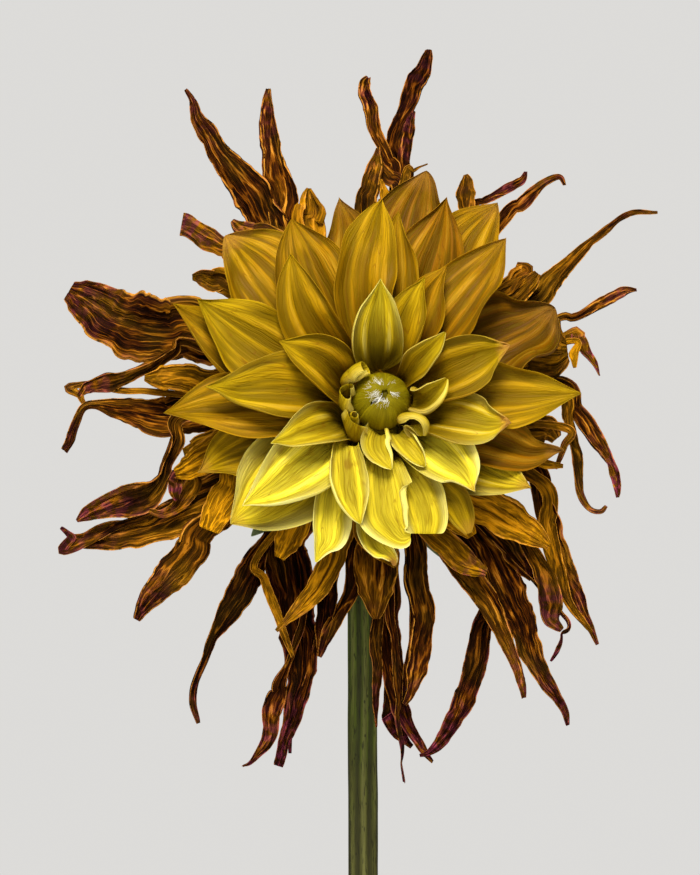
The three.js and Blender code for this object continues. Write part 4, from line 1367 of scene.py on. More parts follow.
RIGHT_ROWS = (
    old((10, 20), (0.85, 0.6, 0.9), (13, 23), (22.5, -50.5, 8.5), (30, -60, 8.5), (35.5, -68, 7.5), (39.5, -77.5, 7),
        (43, -85.5, 5), (45, -92, 3), (45.5, -95.5, 1.5)),
    old((0, 20), (0.8, 0.6, 0.95), (18, 30), (31, -45.5, 11.5), (38, -56.5, 12), (42.5, -66, 11), (47, -77.5, 7.5),
        (51, -87, 6.5), (56, -95.5, 4), (59, -100.5, 3), (60, -104.5, 1.5)),
    old((0, 0), (0.9, 0.2, 0.9), (15, 18), (38, -43, 6.5), (42.5, -49.5, 6.5), (46.5, -54.5, 4.5), (48.5, -57.5, 1.5)),
    old((0, 10), (0.95, 0.8, 0.8), (12, 18), (40.5, -39, 5), (47.5, -48.5, 6.5), (52.5, -57.5, 7), (54, -64.5, 8.5),
        (55.5, -70.5, 7), (58.5, -74, 2.5)),
    old((20, 60), (0.9, 1, 0.9), (19, 26), (56, -66.5, 2.5), (57.5, -76, 3), (56.5, -80.5, 2.5), (54.5, -84, 1)),
    old((-10, 20), (0.85, 0.6, 0.9), (17, 24), (47, -20.5, 6.5), (52.5, -34, 6.5), (56, -45.5, 6.5),
        (59.5, -56.5, 6.5), (63.5, -66, 5), (67, -73.5, 3), (70, -78.5, 1)),
    old((0, 0), (0.7, 0.1, 0.6), (15, 20), (51, -26, 5), (54, -42, 6), (57.5, -56.5, 5), (60, -64.5, 3),
        (64.5, -71.5, 2), (67.5, -75.5, 1)),
    old((10, 40), (0.85, 0.6, 0.8), (12, 17), (56, 3, 4.5), (60, -7, 5.5), (62, -15, 6), (63.5, -23, 5),
        (64.5, -29.5, 4), (67.5, -34.5, 3), (71, -36, 2), (73, -34.5, 1)),
    old((0, 0), (0.7, 0.5, 0.7), (10, 12), (58, -9, 3), (59, -15, 2.5), (56.5, -22.5, 1)),
    old((10, 30), (0.85, 1, 0.85), (17, 21), (56, 4, 6), (62, -3, 6.5), (67.5, -10, 7.5), (72, -17.5, 7.5),
        (75, -24.5, 5.5), (76, -29.5, 3), (76, -32, 1)),
    old((20, 30), (0.8, 1.6, 0.7), (14, 14), (58, 20, 2.5), (63, 19, 4.5), (66, 15.5, 4.5), (69, 11.5, 2.5),
        (70, 7.5, 0.5)),
    old((0, 0), (0.6, 0, 0.1), (12, 12), (59, 18.5, 2), (61.5, 14.5, 3), (62.5, 10.5, 1)),
    old((0, 0), (0.9, 0.1, 0.6), (8, 9), (43, 17, 16), (51.5, 17, 19), (57, 16.5, 16), (60, 16.5, 8)),
    old((0, 10), (1.4, 0.1, 0.7), (7, 8), (35.5, 30, 11), (42.5, 34.5, 11.5), (47.5, 38, 8.5), (50, 41, 3)),
    old((0, 10), (1.4, 0.1, 0.8), (9, 10), (39.5, 34.5, 6.5), (44, 39.5, 6), (47.5, 41.5, 4), (44, 43, 2)),
    old((10, 30), (0.85, 0.5, 0.85), (16, 17), (54.5, 24.5, 4), (62, 26, 3.5), (67.5, 29.5, 4), (72.5, 32.5, 4.5),
        (78, 35, 3.5), (83, 35, 1)),
    old((10, 40), (0.85, 0.2, 0.85), (13, 16), (46.5, 29.5, 7), (53.5, 38, 7.5), (60, 43.5, 6), (67, 50.5, 4),
        (74, 56.5, 2.5), (81.5, 60.5, 2), (89, 61, 1)),
    old((0, 0), (0.9, 0.1, 0.7), (10, 11), (38, -8.5, 9.5), (47.5, -9.5, 10), (53.5, -10, 8.5), (56.5, -12.5, 4.5)),
    old((10, 10), (0.8, 0.1, 0.3), (8, 9), (39.5, -20, 4.5), (47.5, -19, 4), (53.5, -21, 3), (58, -22, 1.5)),
)
TURNING_ROWS = (
    old((0, 0), (0.55, 0, 0.1), (3, 3), (-44.5, -19, 7.5), (-49, -29, 9.5), (-53, -36.5, 10), (-55.5, -42, 7)),
    old((0, 0), (0.8, 0, 0.05), (2, 2), (-24.5, -31.5, 8.5), (-28, -40.5, 10), (-30.5, -46.5, 8.5), (-32.5, -51, 3)),
    old((0, 0), (0.5, 0, 0.15), (3, 2), (-4, -40.5, 9.5), (-0.5, -47, 9.5), (3, -50.5, 5.5), (5, -53, 2)),
    old((0, 10), (0.9, 0.7, 0.25), (5, 9), (15, -41, 7.5), (22.5, -48, 9.5), (29, -53, 8.5), (33.5, -55.5, 3)),
    old((0, 0), (0.85, 0.1, 0.35), (4, 4), (21.5, -25, 9.5), (31.5, -32.5, 12), (40.5, -38, 12), (47.5, -43, 9),
        (54, -47.5, 2)),
    old((0, 10), (0.8, 0, 0.1), (3, 3), (-42, -13.5, 13), (-50, -16, 13), (-57, -19, 9.5), (-62.5, -22.5, 7),
        (-66, -23.5, 3)),
    old((0, 0), (0.8, 0, 0.1), (3, 4), (14.5, -30, 9.5), (21.5, -36.5, 10), (26, -41, 7.5), (29, -44, 3)),
    old((0, 0), (0.6, 0.1, 0.2), (5, 6), (-53, -13.5, 9.5), (-58.5, -16.5, 8.5), (-63, -18, 4)),
)
OLD_FLORETS = {
    Side.UPPER: UPPER_ROWS,
    Side.LEFT: LEFT_ROWS,
    Side.LOWER: LOWER_ROWS,
    Side.RIGHT: RIGHT_ROWS,
    Side.TURNING: TURNING_ROWS,
}


@dataclass
class OldFlorets:
    """The dried florets, joined by the side of the bloom that they hang on."""

    thickness: float = 0.4
    root_radius: float = 11.0
    shoulder_radius: float = 20.0
    fold_angle: float = 50.0
    fine_angle: float = 42.0
    fullness: float = 0.85
    fold_pitch: float = 2.0
    fine_pitch: float = 1.0

    FIRST_NUMBER = 500
    NUMBERS_A_SIDE = 40

    # Painted shade: how much darker the hindmost florets of a side are made, where they hang in the shade of the head.
    HINDMOST_SHADE = {Side.LOWER: 0.5, Side.RIGHT: 0.1, Side.UPPER: 0.4}

    def build(self, nest: Nest, finish: Material) -> list[Piece]:
        """Builds the florets.

        Args:
            nest: The living petals that they have to lie under.
            finish: The dry petals' material.

        Returns:
            The pieces.
        """
        pieces = []
        for turn, (side, rows) in enumerate(OLD_FLORETS.items()):
            first = self.FIRST_NUMBER + self.NUMBERS_A_SIDE * turn
            sheets = [
                Maker.blade(self.floret(row, seed, self.HINDMOST_SHADE.get(side, 0.0)), seed, nest)
                for seed, row in enumerate(rows, first)
            ]
            piece = Maker.petals(sheets, f"withered_florets_{side.value}", self.thickness)
            pieces.append(Maker.settle(piece, finish, "withered_petal", 50))
        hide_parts("withered_florets")
        return pieces

    def spine(self, row: WitheredRow, wave: Wander) -> tuple[Course, Profile]:
        """An old floret's spine, which kinks a little as it dries, and its breadth along it.

        Args:
            row: The floret.
            wave: The noise that kinks it.

        Returns:
            The spine and the breadth as seen.
        """
        depths = np.linspace(*row.depth, len(row.stops))
        seen = [BLOOM.seen_point(x, z, -depth) for (x, z, _), depth in zip(row.stops, depths)]
        azimuth = BLOOM.azimuth_of(seen[0])
        height = float(np.clip(-row.depth[0] / 2, -10.4, -2.6))
        root = BLOOM.polar_point(azimuth, self.root_radius, height)
        shoulder = BLOOM.polar_point(azimuth, self.shoulder_radius, height - 1)
        places = np.array([root, shoulder, *seen])
        plain = Course.through(list(places))
        reach = walked(places)
        breadths = [4.0, 0.7 * row.stops[0][2], *(stop[2] for stop in row.stops)]
        share = np.linspace(0.0, 1.0, 160)
        kink = 0.6 * smooth(0.2, 0.6, share)
        points = plain.at(share)
        for direction, lane in ((BLOOM.right, 0), (BLOOM.up, 11), (BLOOM.axis, 22)):
            points = points + direction * (kink * wave.at(share * plain.length / 9, lane))[:, None]
        course = Course(points)

        def breadth(s: Array) -> Array:
            """The breadth as seen, with small nicks."""
            nicks = 0.10 * wave.at(s * course.length / 5, 70) + 0.05 * wave.at(s * course.length / 1.7, 80)
            return np.maximum(0.7, np.interp(s, reach / reach[-1], breadths) * (1 + nicks))

        return course, breadth

    def floret(self, row: WitheredRow, seed: int, darker: float) -> Blade:
        """Shapes one old floret.

        Args:
            row: Its place and size.
            seed: What its folds are drawn from.
            darker: How much painted shade darkens it more than the others, if it lies far back.

        Returns:
            The floret.
        """
        folds, fine, wave = Wander(seed), Wander(seed + 1000), Wander(seed + 2000)
        course, breadth = self.spine(row, wave)
        draw = np.random.default_rng(seed)
        length = course.length
        broadest = max(stop[2] for stop in row.stops)
        flat = broadest * self.fullness
        curls = np.radians(draw.uniform(20, 120, 2) * draw.choice([-0.7, 1, 1], 2))
        drift = draw.uniform(-1.2, 1.2)
        bow = draw.uniform(-0.4, 1.0)

        def angle(s: Array, v: Array) -> Array:
            """The angle of each step across the floret."""
            grown = row.crush * smooth(0.02, 0.25, s)
            broad = np.tanh(2.6 * folds.at(v * flat / self.fold_pitch + drift * s + 20, s * length / 24))
            small = np.tanh(2.0 * fine.at(v * flat / self.fine_pitch + 60, s * length / 13))
            curl = np.where(v < 0, *curls) * (0.8 + 0.7 * wave.at(s * length / 14, 40))
            bent = radians(self.fold_angle) * broad + radians(self.fine_angle) * small
            return radians(34) * bow * v + grown * bent + curl * margin(0.72, v) * smooth(0.15, 0.5, s)

        def crumple(s: Array, v: Array) -> Array:
            """Small dents, in millimetres, that run every way."""
            dents = 0.22 * fine.at(v * flat / 1.8 + 7, s * length / 5 + 9)
            dents = dents + 0.45 * np.abs(wave.at(v * flat / 6 + 17, s * length / 9 + 19))
            return row.crush * smooth(0.12, 0.4, s) * dents

        def turn(s: Array) -> Array:
            """The turn about the floret's own length, in radians."""
            start, end = row.turn
            swept = start * np.minimum(1, s * 3) + (end - start) * s * s
            return np.radians(swept + 14 * smooth(0.25, 0.7, s) * wave.at(s * length / 22, 30))

        age, blush = row.tissue
        return Blade(
            course=course,
            width=breadth,
            angle=angle,
            turn=turn,
            crumple=crumple,
            # Painted shade for florets that lie far back is added to their age.
            tissue=Tissue(age + darker * float(smooth(11, 19, row.depth[0])), blush),
            rows=int(np.clip(length * 1.15, 36, 120)),
            columns=2 * int(np.clip(broadest * 1.25, 7, 27)),
            gathered=True,
        )


class Roll(Enum):
    """Where along a floret its margins roll up."""

    WHOLE = (0.1, 0.4)
    END = (0.5, 0.62)


class ShapedRow(NamedTuple):
    """A floret with a shape of its own.

    It has a clock place for its root, stops as seen from the front (x, z, height over the disc, flattened
    breadth), the half arc of each side in degrees from root to tip, how far each margin rolls up, and
    where. The left side is on the left hand of who looks along it from its root. It faces so far to the
    right, upwards and out of the bloom, its panels rise by so many degrees, and its keel is a blade's.
    """

    clock: float
    stops: tuple[tuple[float, float, float, float], ...]
    left: Pair
    right: Pair
    rolls: Pair = (0.0, 0.0)
    rolled: Roll = Roll.WHOLE
    facing: Triple = (0.0, 0.0, 1.0)
    age: float = 0.08
    blush: float = 0.0
    panel: float = 14.0
    keel: float = 0.5


CORNETS = (
    ShapedRow(142, ((-12.6, 6.4, 12, 9), (-9.6, 9.8, 17, 15), (-5.6, 12.0, 19.6, 15)), (140, 150), (120, 165),
        (30, 60), facing=(0.6, -0.5, 0.6), panel=6),
    ShapedRow(182, ((-12.6, -1.8, 7, 12), (-13.8, 0.2, 13, 21), (-13.0, 3.4, 18.5, 14)), (115, 130), (115, 130),
        (80, 110), facing=(0.8, -0.1, 0.6), panel=8),
    ShapedRow(228, ((-9.6, -12.8, 8, 9), (-10.4, -10.6, 13, 13), (-9.4, -7.2, 18.5, 11)), (105, 70), (105, 70),
        (-50, -60), facing=(0.65, 0.75, 0.1), panel=8),
    ShapedRow(222, ((-9.4, -8.2, 12, 6), (-9.8, -6.6, 16, 8), (-9.4, -5.6, 19.5, 7)), (165, 175), (165, 175),
        facing=(0.2, 0.2, 1.0), panel=2),
    ShapedRow(270, ((-0.9, -11.2, 10, 11), (-1.2, -15.6, 15.5, 16), (1.2, -19.6, 17.4, 10), (3.2, -22.4, 17.6, 0.8)),
        (125, 62), (88, 52), (110, 10), panel=12, age=-0.35),
    ShapedRow(300, ((5.2, -11.4, 10, 9), (8.4, -15.2, 15, 13), (11.6, -18.8, 16.4, 9), (13.9, -21.5, 16.2, 0.8)),
        (105, 75), (72, 58), (40, 0), panel=18, age=-0.35),
    ShapedRow(328, ((8.4, -6.4, 9, 10), (10.6, -5.2, 15, 18), (13.4, -6.6, 18.4, 19), (13.8, -11.6, 17.4, 5)),
        (105, 120), (120, 105), (50, 30), facing=(-0.45, -0.8, 0.4), panel=6),
    ShapedRow(2, ((9.8, -1.6, 8, 9), (14.2, -0.8, 14, 17), (18.4, 3.0, 18.6, 13), (21, 6.7, 20.4, 2)), (88, 80),
        (92, 86), (16, 120), panel=8),
    ShapedRow(46, ((8.2, 7.4, 8, 8), (12.4, 12.4, 15.5, 15), (17.2, 17.4, 19.8, 10), (20.4, 21.6, 22, 0.8)), (78, 66),
        (78, 66), (20, 20), panel=16),
)
FOLDED = (
    ShapedRow(236, ((-11.6, -15, 13.6, 10), (-11.4, -21, 16.4, 16), (-10.8, -27, 17.6, 18.5), (-9.6, -32.5, 18, 16),
        (-8.2, -36.8, 18, 9), (-6.7, -39.8, 17.6, 0.8)), (62, 58), (50, 62), (20, 40), panel=24, age=-0.5),
    ShapedRow(238, ((-15.6, -22, 8, 10), (-18.0, -28, 9.6, 13.4), (-19.2, -34.4, 10, 15), (-19.6, -40.6, 10, 15),
        (-19.6, -44.6, 9.6, 13.6), (-20.4, -47.8, 9, 6.4), (-21.2, -52, 8, 0.8)), (8, 14), (64, 50), (6, 40),
        panel=14, age=-0.8, keel=0.7),
    ShapedRow(272, ((-0.3, -20.5, 12.4, 14), (0.6, -29.5, 13.6, 21), (1.8, -37.5, 13.4, 23), (6.0, -43.6, 12.6, 12),
        (9.3, -43.8, 12.2, 3)), (30, 30), (34, 30), (230, 20), rolled=Roll.END, panel=12, age=-0.5),
    ShapedRow(296, ((7.7, -22.4, 9, 13), (12, -31, 10, 18), (14, -39, 9.6, 17), (14, -43, 9, 12)), (38, 30), (24, 20),
        (16, 0), panel=20, age=-0.3),
    ShapedRow(312, ((16.5, -26.5, 7, 13), (22.6, -33, 7, 15), (26, -39, 6, 11), (27.8, -43, 5, 3)), (34, 40),
        (34, 50), (40, 60), panel=24, age=0.3, blush=0.4),
    ShapedRow(272, ((1.6, -34, 6.4, 12), (1, -41, 8, 13.4), (1.2, -44.6, 10.6, 13.4), (1.9, -46.4, 11.6, 10.6),
        (3.4, -48.2, 11.6, 6.4), (4.8, -51, 10.4, 4), (4.4, -53.4, 9, 1)), (20, 60), (20, 60), (20, 20),
        rolled=Roll.END, panel=10, age=-0.8, blush=1.0, keel=0.2),
)


@dataclass
class ShapedFlorets:
    """Florets that roll or fold in a way of their own: the cornets round the bud, and the folded lower ones."""

    name: str
    rows: tuple[ShapedRow, ...]
    root_radius: float
    root_height: float
    first_number: int
    grid: tuple[int, int] = (48, 36)

    def petals(self) -> list[Petal]:
        """Shapes the florets."""
        return [
            Petal(self.name, float(np.mean([stop[2] for stop in row.stops])), self.floret(row, number), number)
            for number, row in enumerate(self.rows, self.first_number)
        ]

    def floret(self, row: ShapedRow, seed: int) -> Blade:
        """Shapes one floret.

        Args:
            row: Its place, size and rolls.
            seed: What its small differences are drawn from.

        Returns:
            The floret.
        """
        root = BLOOM.polar_point(radians(row.clock), self.root_radius, self.root_height)
        places = np.array([root, *(BLOOM.seen_point(x, z, lift) for x, z, lift, _ in row.stops)])
        reach = walked(places)
        breadths = [0.5 * row.stops[0][3], *(stop[3] for stop in row.stops)]
        knots = np.linspace(0, 1, 200)
        plain = np.interp(knots, reach / reach[-1], breadths)
        window = np.hanning(33) / np.hanning(33).sum()
        soft = np.convolve(np.pad(plain, 16, mode="edge"), window, mode="valid")
        soft = soft + (plain - soft) * smooth(0.9, 1.0, knots)
        inward = np.array(row.facing) @ np.array([BLOOM.right, BLOOM.up, BLOOM.axis])
        wave = Wander(seed)

        def angle(s: Array, v: Array) -> Array:
            """The angle of each step across the floret."""
            arcs = np.where(v < 0, mix(*row.left, s), mix(*row.right, s))
            rolls = np.where(v < 0, *row.rolls) * smooth(*row.rolled.value, s)
            saw = row.panel * smooth(0.05, 0.4, s) * panels(v, (-0.4, 0.4), 0.05)
            ribs = 5 * wave.at(v * 7 + 30, s * 2) + 9 * wave.at(s * 5, v * 2) * np.abs(v)
            return np.radians(arcs * v + rolls * margin(0.5, v) + saw + ribs)

        return Blade(
            course=Course.through(list(places)),
            width=lambda s: np.interp(s, knots, soft),
            angle=angle,
            facing=lambda points: inward,
            crumple=lambda s, v: 0.3 * wave.at(v * 1.6 + 80, s * 5) * smooth(0.1, 0.4, s),
            tissue=Tissue(row.age, row.blush),
            rows=self.grid[0],
            columns=self.grid[1],
            keel=row.keel,
        )


@dataclass
class LivingBloom:
    """All the living florets, laid from the bud outwards so that each lies under those before it."""

    cornets: ShapedFlorets
    folded: ShapedFlorets
    rings: FreshFlorets
    thickness: float = 0.26

    def build(self, nest: Nest, finish: Material) -> list[Piece]:
        """Builds the florets.

        Args:
            nest: Where they are laid.
            finish: The petals' material.

        Returns:
            The pieces.
        """
        cornets = self.cornets.petals()
        sheets = {self.cornets.name: [Maker.blade(petal.blade, petal.number) for petal in cornets]}
        for petal in cornets:
            nest.add(petal.blade.surface()[0])
        later = self.rings.petals() + self.folded.petals()
        for petal in sorted(later, key=lambda petal: -petal.lift):
            sheet = Maker.blade(petal.blade, petal.number, nest, joins=True)
            sheets.setdefault(petal.piece, []).append(sheet)
        pieces = [
            Maker.settle(Maker.petals(parts, name, self.thickness), finish, "fresh_petal")
            for name, parts in sheets.items()
        ]
        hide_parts("fresh_florets")
        return pieces


class BudRow(NamedTuple):
    """A floret of the bud: the clock place of its middle, its width, how far it closes and stands out."""

    clock: float
    width: float
    close: float
    stand: float


def place_on_bloom(piece: Piece) -> Piece:
    """Moves an upright turned shape onto the bloom's axis.

    Args:
        piece: The shape, with its height counted from the disc.

    Returns:
        The shape in its place, with the place in its mesh.
    """
    right, up, axis, centre = (Vector(part) for part in (BLOOM.right, BLOOM.up, BLOOM.axis, BLOOM.centre * MM))
    for vertex in piece.data.vertices:
        vertex.co = centre + right * vertex.co.x + up * vertex.co.y + axis * vertex.co.z
    return piece


@dataclass
class Bud:
    """The closed bud: florets that wrap each other into a dome round a small silky mouth."""

    middle: float = 10.5
    radius: float = 8.9
    foot: float = -40.0
    florets: tuple[BudRow, ...] = (
        BudRow(95, 17.0, 80, 0.0), BudRow(25, 16.0, 79, 0.5), BudRow(330, 16.0, 82, 0.25),
        BudRow(262, 13.5, 74, 1.2), BudRow(200, 12.0, 58, 0.9), BudRow(160, 14.0, 84, 0.6),
    )
    heart: tuple[Pair, ...] = ((1.5, 4.2), (5.5, 5), (7.4, 9), (7.2, 12.5), (4.8, 16), (1.8, 17.6), (0.4, 17.3))
    thickness: float = 0.36
    hair_count: int = 190

    # Where the tufts of silk root, seen from the front, which way they comb, and how far they spread.
    TUFTS = (
        (-3.4, 2.2, 165, 0.6), (-1.4, 3.4, 120, 0.7), (-2.6, 0.2, 200, 0.7), (-1.2, -1.6, 228, 0.8),
        (0.4, -2.2, 250, 0.6), (2.4, 0.2, -25, 0.4), (2.2, 3.0, 60, 0.4),
    )
    TUFT_SHARES = (0.14, 0.14, 0.2, 0.24, 0.12, 0.08, 0.08)
    FIRST_NUMBER = 40
    HAIR_SEED = 7000

    def build(self, finish: Material, hair: Material) -> list[Piece]:
        """Builds the bud.

        Args:
            finish: The green florets' material.
            hair: The silky hairs' material.

        Returns:
            The pieces.
        """
        numbered = enumerate(self.florets, self.FIRST_NUMBER)
        sheets = [Maker.blade(self.floret(row, number), number) for number, row in numbered]
        dome = Maker.settle(Maker.petals(sheets, "bud", self.thickness), finish, "bud_green")
        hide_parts("bud")
        heart = place_on_bloom(Maker.turned("bud_heart", self.heart, 20, 1))
        silk = Maker.joined([self.strand(i) for i in range(self.hair_count)], "bud_silk")
        return [dome, Maker.settle(heart, finish, "bud_green"), Maker.settle(silk, hair, "bud_green")]

    def floret(self, row: BudRow, seed: int) -> Blade:
        """Shapes one floret of the dome.

        Args:
            row: Its place and size.
            seed: What its small differences are drawn from.

        Returns:
            The floret, whose hollow side faces the bud's middle.
        """
        azimuth = radians(row.clock)
        centre = BLOOM.face_point(0, 0, self.middle)
        turns = np.radians(np.linspace(self.foot, row.close, 60))
        reach = self.radius + 0.5 * row.stand - 1.1 * smooth(radians(66), radians(84), turns)
        spine = [BLOOM.polar_point(azimuth, r * cos(t), self.middle + r * sin(t)) for r, t in zip(reach, turns)]
        wave = Wander(seed)
        arc = row.width / 2 / self.radius

        def angle(s: Array, v: Array) -> Array:
            """The angle of each step across the floret."""
            wide = np.sqrt(np.clip(1 - ((s - 0.45) / 0.6) ** 2, 0.02, 1))
            return arc * wide * v * 1.02 + radians(9) * wave.at(v * 6 + 30, s * 2)

        return Blade(
            course=Course(np.array(spine)),
            width=lambda s: row.width * np.sqrt(np.clip(1 - ((s - 0.42) / 0.585) ** 2, 0.0, 1)) ** 1.1,
            angle=angle,
            facing=lambda points: centre - points,
            tissue=Tissue(0.1 + 0.1 * row.stand),
            rows=36,
            columns=28,
        )

    def strand(self, number: int) -> Piece:
        """One silky hair at the mouth.

        Args:
            number: Which hair it is.

        Returns:
            The hair, a thin tapered cone.
        """
        draw = np.random.default_rng(self.HAIR_SEED + number)
        x, y, way, spread = self.TUFTS[draw.choice(len(self.TUFTS), p=self.TUFT_SHARES)]
        x, y = x + draw.normal(0, spread), y + draw.normal(0, 0.7 * spread)
        way = radians(way + draw.normal(0, 22))
        foot = BLOOM.face_point(x, y, self.middle + sqrt(max(0.0, self.radius**2 - x * x - y * y)) + 0.15)
        outward = unit(foot - BLOOM.face_point(0, 0, self.middle))
        direction = BLOOM.right * cos(way) + BLOOM.up * sin(way)
        direction = unit(direction - outward * np.dot(direction, outward) + outward * draw.uniform(0.05, 0.35))
        length = draw.uniform(1.0, 3.0)
        Maker.select()
        bpy.ops.mesh.primitive_cone_add(
            vertices=4,
            radius1=0.042 * MM,
            radius2=0.012 * MM,
            depth=length * MM,
            location=Vector((foot + direction * length / 2) * MM),
            rotation=Vector(direction).to_track_quat("Z", "Y").to_euler(),
        )
        return bpy.context.object


@dataclass
class Seat:
    """The hidden core that the florets grow from."""

    profile: tuple[Pair, ...] = (
        (6, -13.5), (13.5, -12.6), (16.4, -10), (16.8, -6), (16.4, -2.4), (14, 1.2), (9.6, 3.4), (4, 4.4),
    )

    def build(self, finish: Material) -> Piece:
        """Builds the core in the petals' material."""
        return Maker.settle(place_on_bloom(Maker.turned("floret_seat", self.profile, 32, 1)), finish, "fresh_petal")


class BractRow(NamedTuple):
    """An outer bract: its tip as seen from straight in front, how far behind the disc, and its width."""

    x: float
    z: float
    back: float
    width: float


@dataclass
class Stem:
    """The ribbed stem with its nodding neck, the receptacle and the bracts, which grew as one."""

    radius: float = 4.75
    flute_depth: float = 0.24
    ribs: int = 7
    foot: Triple = (0.0, 9.0, 10.1)
    nod_length: float = 24.0
    neck_height: float = -26.0
    neck_overlap: float = 4.0
    grid: tuple[int, int] = (220, 108)
    bracts: tuple[BractRow, ...] = (
        BractRow(-42, -44, 27, 12), BractRow(21, -52, 29, 13), BractRow(-10, -34, 40, 12),
        BractRow(38, 8, 36, 13), BractRow(4, 40, 38, 12), BractRow(-34, 16, 36, 13),
    )
    inner_count: int = 8
    profile: tuple[Pair, ...] = (
        (4.6, -28), (5.2, -27), (6.6, -24), (8.8, -21), (11.4, -18), (13.8, -15), (14.8, -13),
        (14.6, -12.2), (8, -12),
    )

    STEM_NUMBER = 21
    RIB_SEED = 77
    FIRST_BRACT = 60
    BRACT_SEED = 800

    def build(self, finish: Material, leaf: Material) -> list[Piece]:
        """Builds the stem.

        Args:
            finish: The stem's material.
            leaf: The bracts' material.

        Returns:
            The pieces.
        """
        stem = Maker.settle(self.tube(), finish, "stem_green")
        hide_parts("stem")
        cup = place_on_bloom(Maker.turned("receptacle", self.profile, 32, 1))
        sheets = [Maker.blade(blade, number) for number, blade in enumerate(self.leaves(), self.FIRST_BRACT)]
        bracts = Maker.petals(sheets, "bracts", 0.8)
        return [stem, Maker.settle(cup, leaf, "stem_green"), Maker.settle(bracts, leaf, "stem_green")]

    def course(self) -> Course:
        """The stem's middle line, straight from the vase's floor and bent at the neck."""
        end = BLOOM.face_point(0, 0, self.neck_height)
        foot = np.array(self.foot)
        turn = end - BLOOM.axis * self.nod_length
        rise = unit(turn - foot)
        start = turn - rise * self.nod_length
        handle = 0.6 * self.nod_length
        share = np.linspace(0, 1, 60)[:, None]
        bend = cubic(share, start, start + rise * handle, end - BLOOM.axis * handle, end)
        straight = foot + (start - foot) * np.linspace(0, 1, 80, endpoint=False)[:, None]
        return Course(np.concatenate([straight, bend, (end + BLOOM.axis * self.neck_overlap)[None, :]]))

    def tube(self) -> Piece:
        """Wraps a grid round the middle line and closes its ends."""
        course = self.course()
        rows, columns = self.grid
        s = np.linspace(0, 1, rows + 1)
        spine, along = course.at(s), course.along(s)
        side = square_to(along, BLOOM.right)
        back = np.cross(along, side)
        turn = np.linspace(0, 2 * pi, columns + 1)
        wave = Wander(self.RIB_SEED)
        around = 24 * np.arange(columns + 1) / columns
        around[-1] = 0.0
        drift = 0.16 * wave.at(s * 7, 3)[:, None]
        rib = np.cos(self.ribs * (turn[None, :] + pi / 2 + drift))
        rib = np.sign(rib) * np.abs(rib) ** 0.8 * (0.6 + 0.4 * wave.at(around[None, :] / 3, s[:, None] * 8))
        swell = 0.10 * wave.at(around[None, :] / 8 + 30, s[:, None] * 26)
        reach = self.radius + self.flute_depth * rib + swell
        ring = np.cos(turn)[None, :, None] * side[:, None, :] + np.sin(turn)[None, :, None] * back[:, None, :]
        points = spine[:, None, :] + ring * reach[:, :, None]
        points[:, -1] = points[:, 0]
        places = np.stack(np.broadcast_arrays(turn / pi - 1, s[:, None], rib), axis=-1)
        piece = Maker.sheet(points, places, Tissue(0.2), (2 * pi * self.radius, course.length), self.STEM_NUMBER)
        piece.name = piece.data.name = "stem"
        Maker.weld(piece)
        with Maker.editing():
            bpy.ops.mesh.fill_holes(sides=0)
            bpy.ops.mesh.normals_make_consistent(inside=False)
        return piece

    def leaves(self) -> list[Blade]:
        """Shapes the outer bracts, which bend back, and the inner ones, close under the florets."""
        outer = [self.outer_bract(row, seed) for seed, row in enumerate(self.bracts, self.BRACT_SEED)]
        return outer + [self.inner_bract(radians(360 / self.inner_count * i + 12)) for i in range(self.inner_count)]

    def outer_bract(self, row: BractRow, seed: int) -> Blade:
        """Shapes a bract that bends back.

        Args:
            row: Its place and size.
            seed: What its flutter is drawn from.

        Returns:
            The bract.
        """
        tip = BLOOM.seen_point(row.x, row.z, -row.back)
        azimuth = BLOOM.azimuth_of(tip)
        wave = Wander(seed)

        def angle(s: Array, v: Array) -> Array:
            """The angle of each step across the bract."""
            flutter = wave.at(s * 5, v * 2) * np.abs(v)
            return radians(22) * v + radians(14) * (panels(v, (-0.02,), 0.08) + flutter)

        root = BLOOM.polar_point(azimuth, 8, self.neck_height + 7)
        spine = BLOOM.arched(root, tip, azimuth, (86, 112))
        return Blade(spine, fresh_outline(row.width, 0.4), angle, Tissue(0.3, 0.3), rows=30, columns=14)

    @staticmethod
    def inner_bract(azimuth: float) -> Blade:
        """Shapes a short bract that lies close under the florets, at a clock place in radians."""
        root, tip = BLOOM.polar_point(azimuth, 10.5, -16), BLOOM.polar_point(azimuth, 26, -16.5)
        return Blade(
            course=BLOOM.arched(root, tip, azimuth, (80, 84)),
            width=fresh_outline(11, 0.4),
            angle=lambda s, v: radians(18) * v + radians(10) * panels(v, (0.0,), 0.08),
            tissue=Tissue(0.5),
            rows=14,
            columns=10,
        )


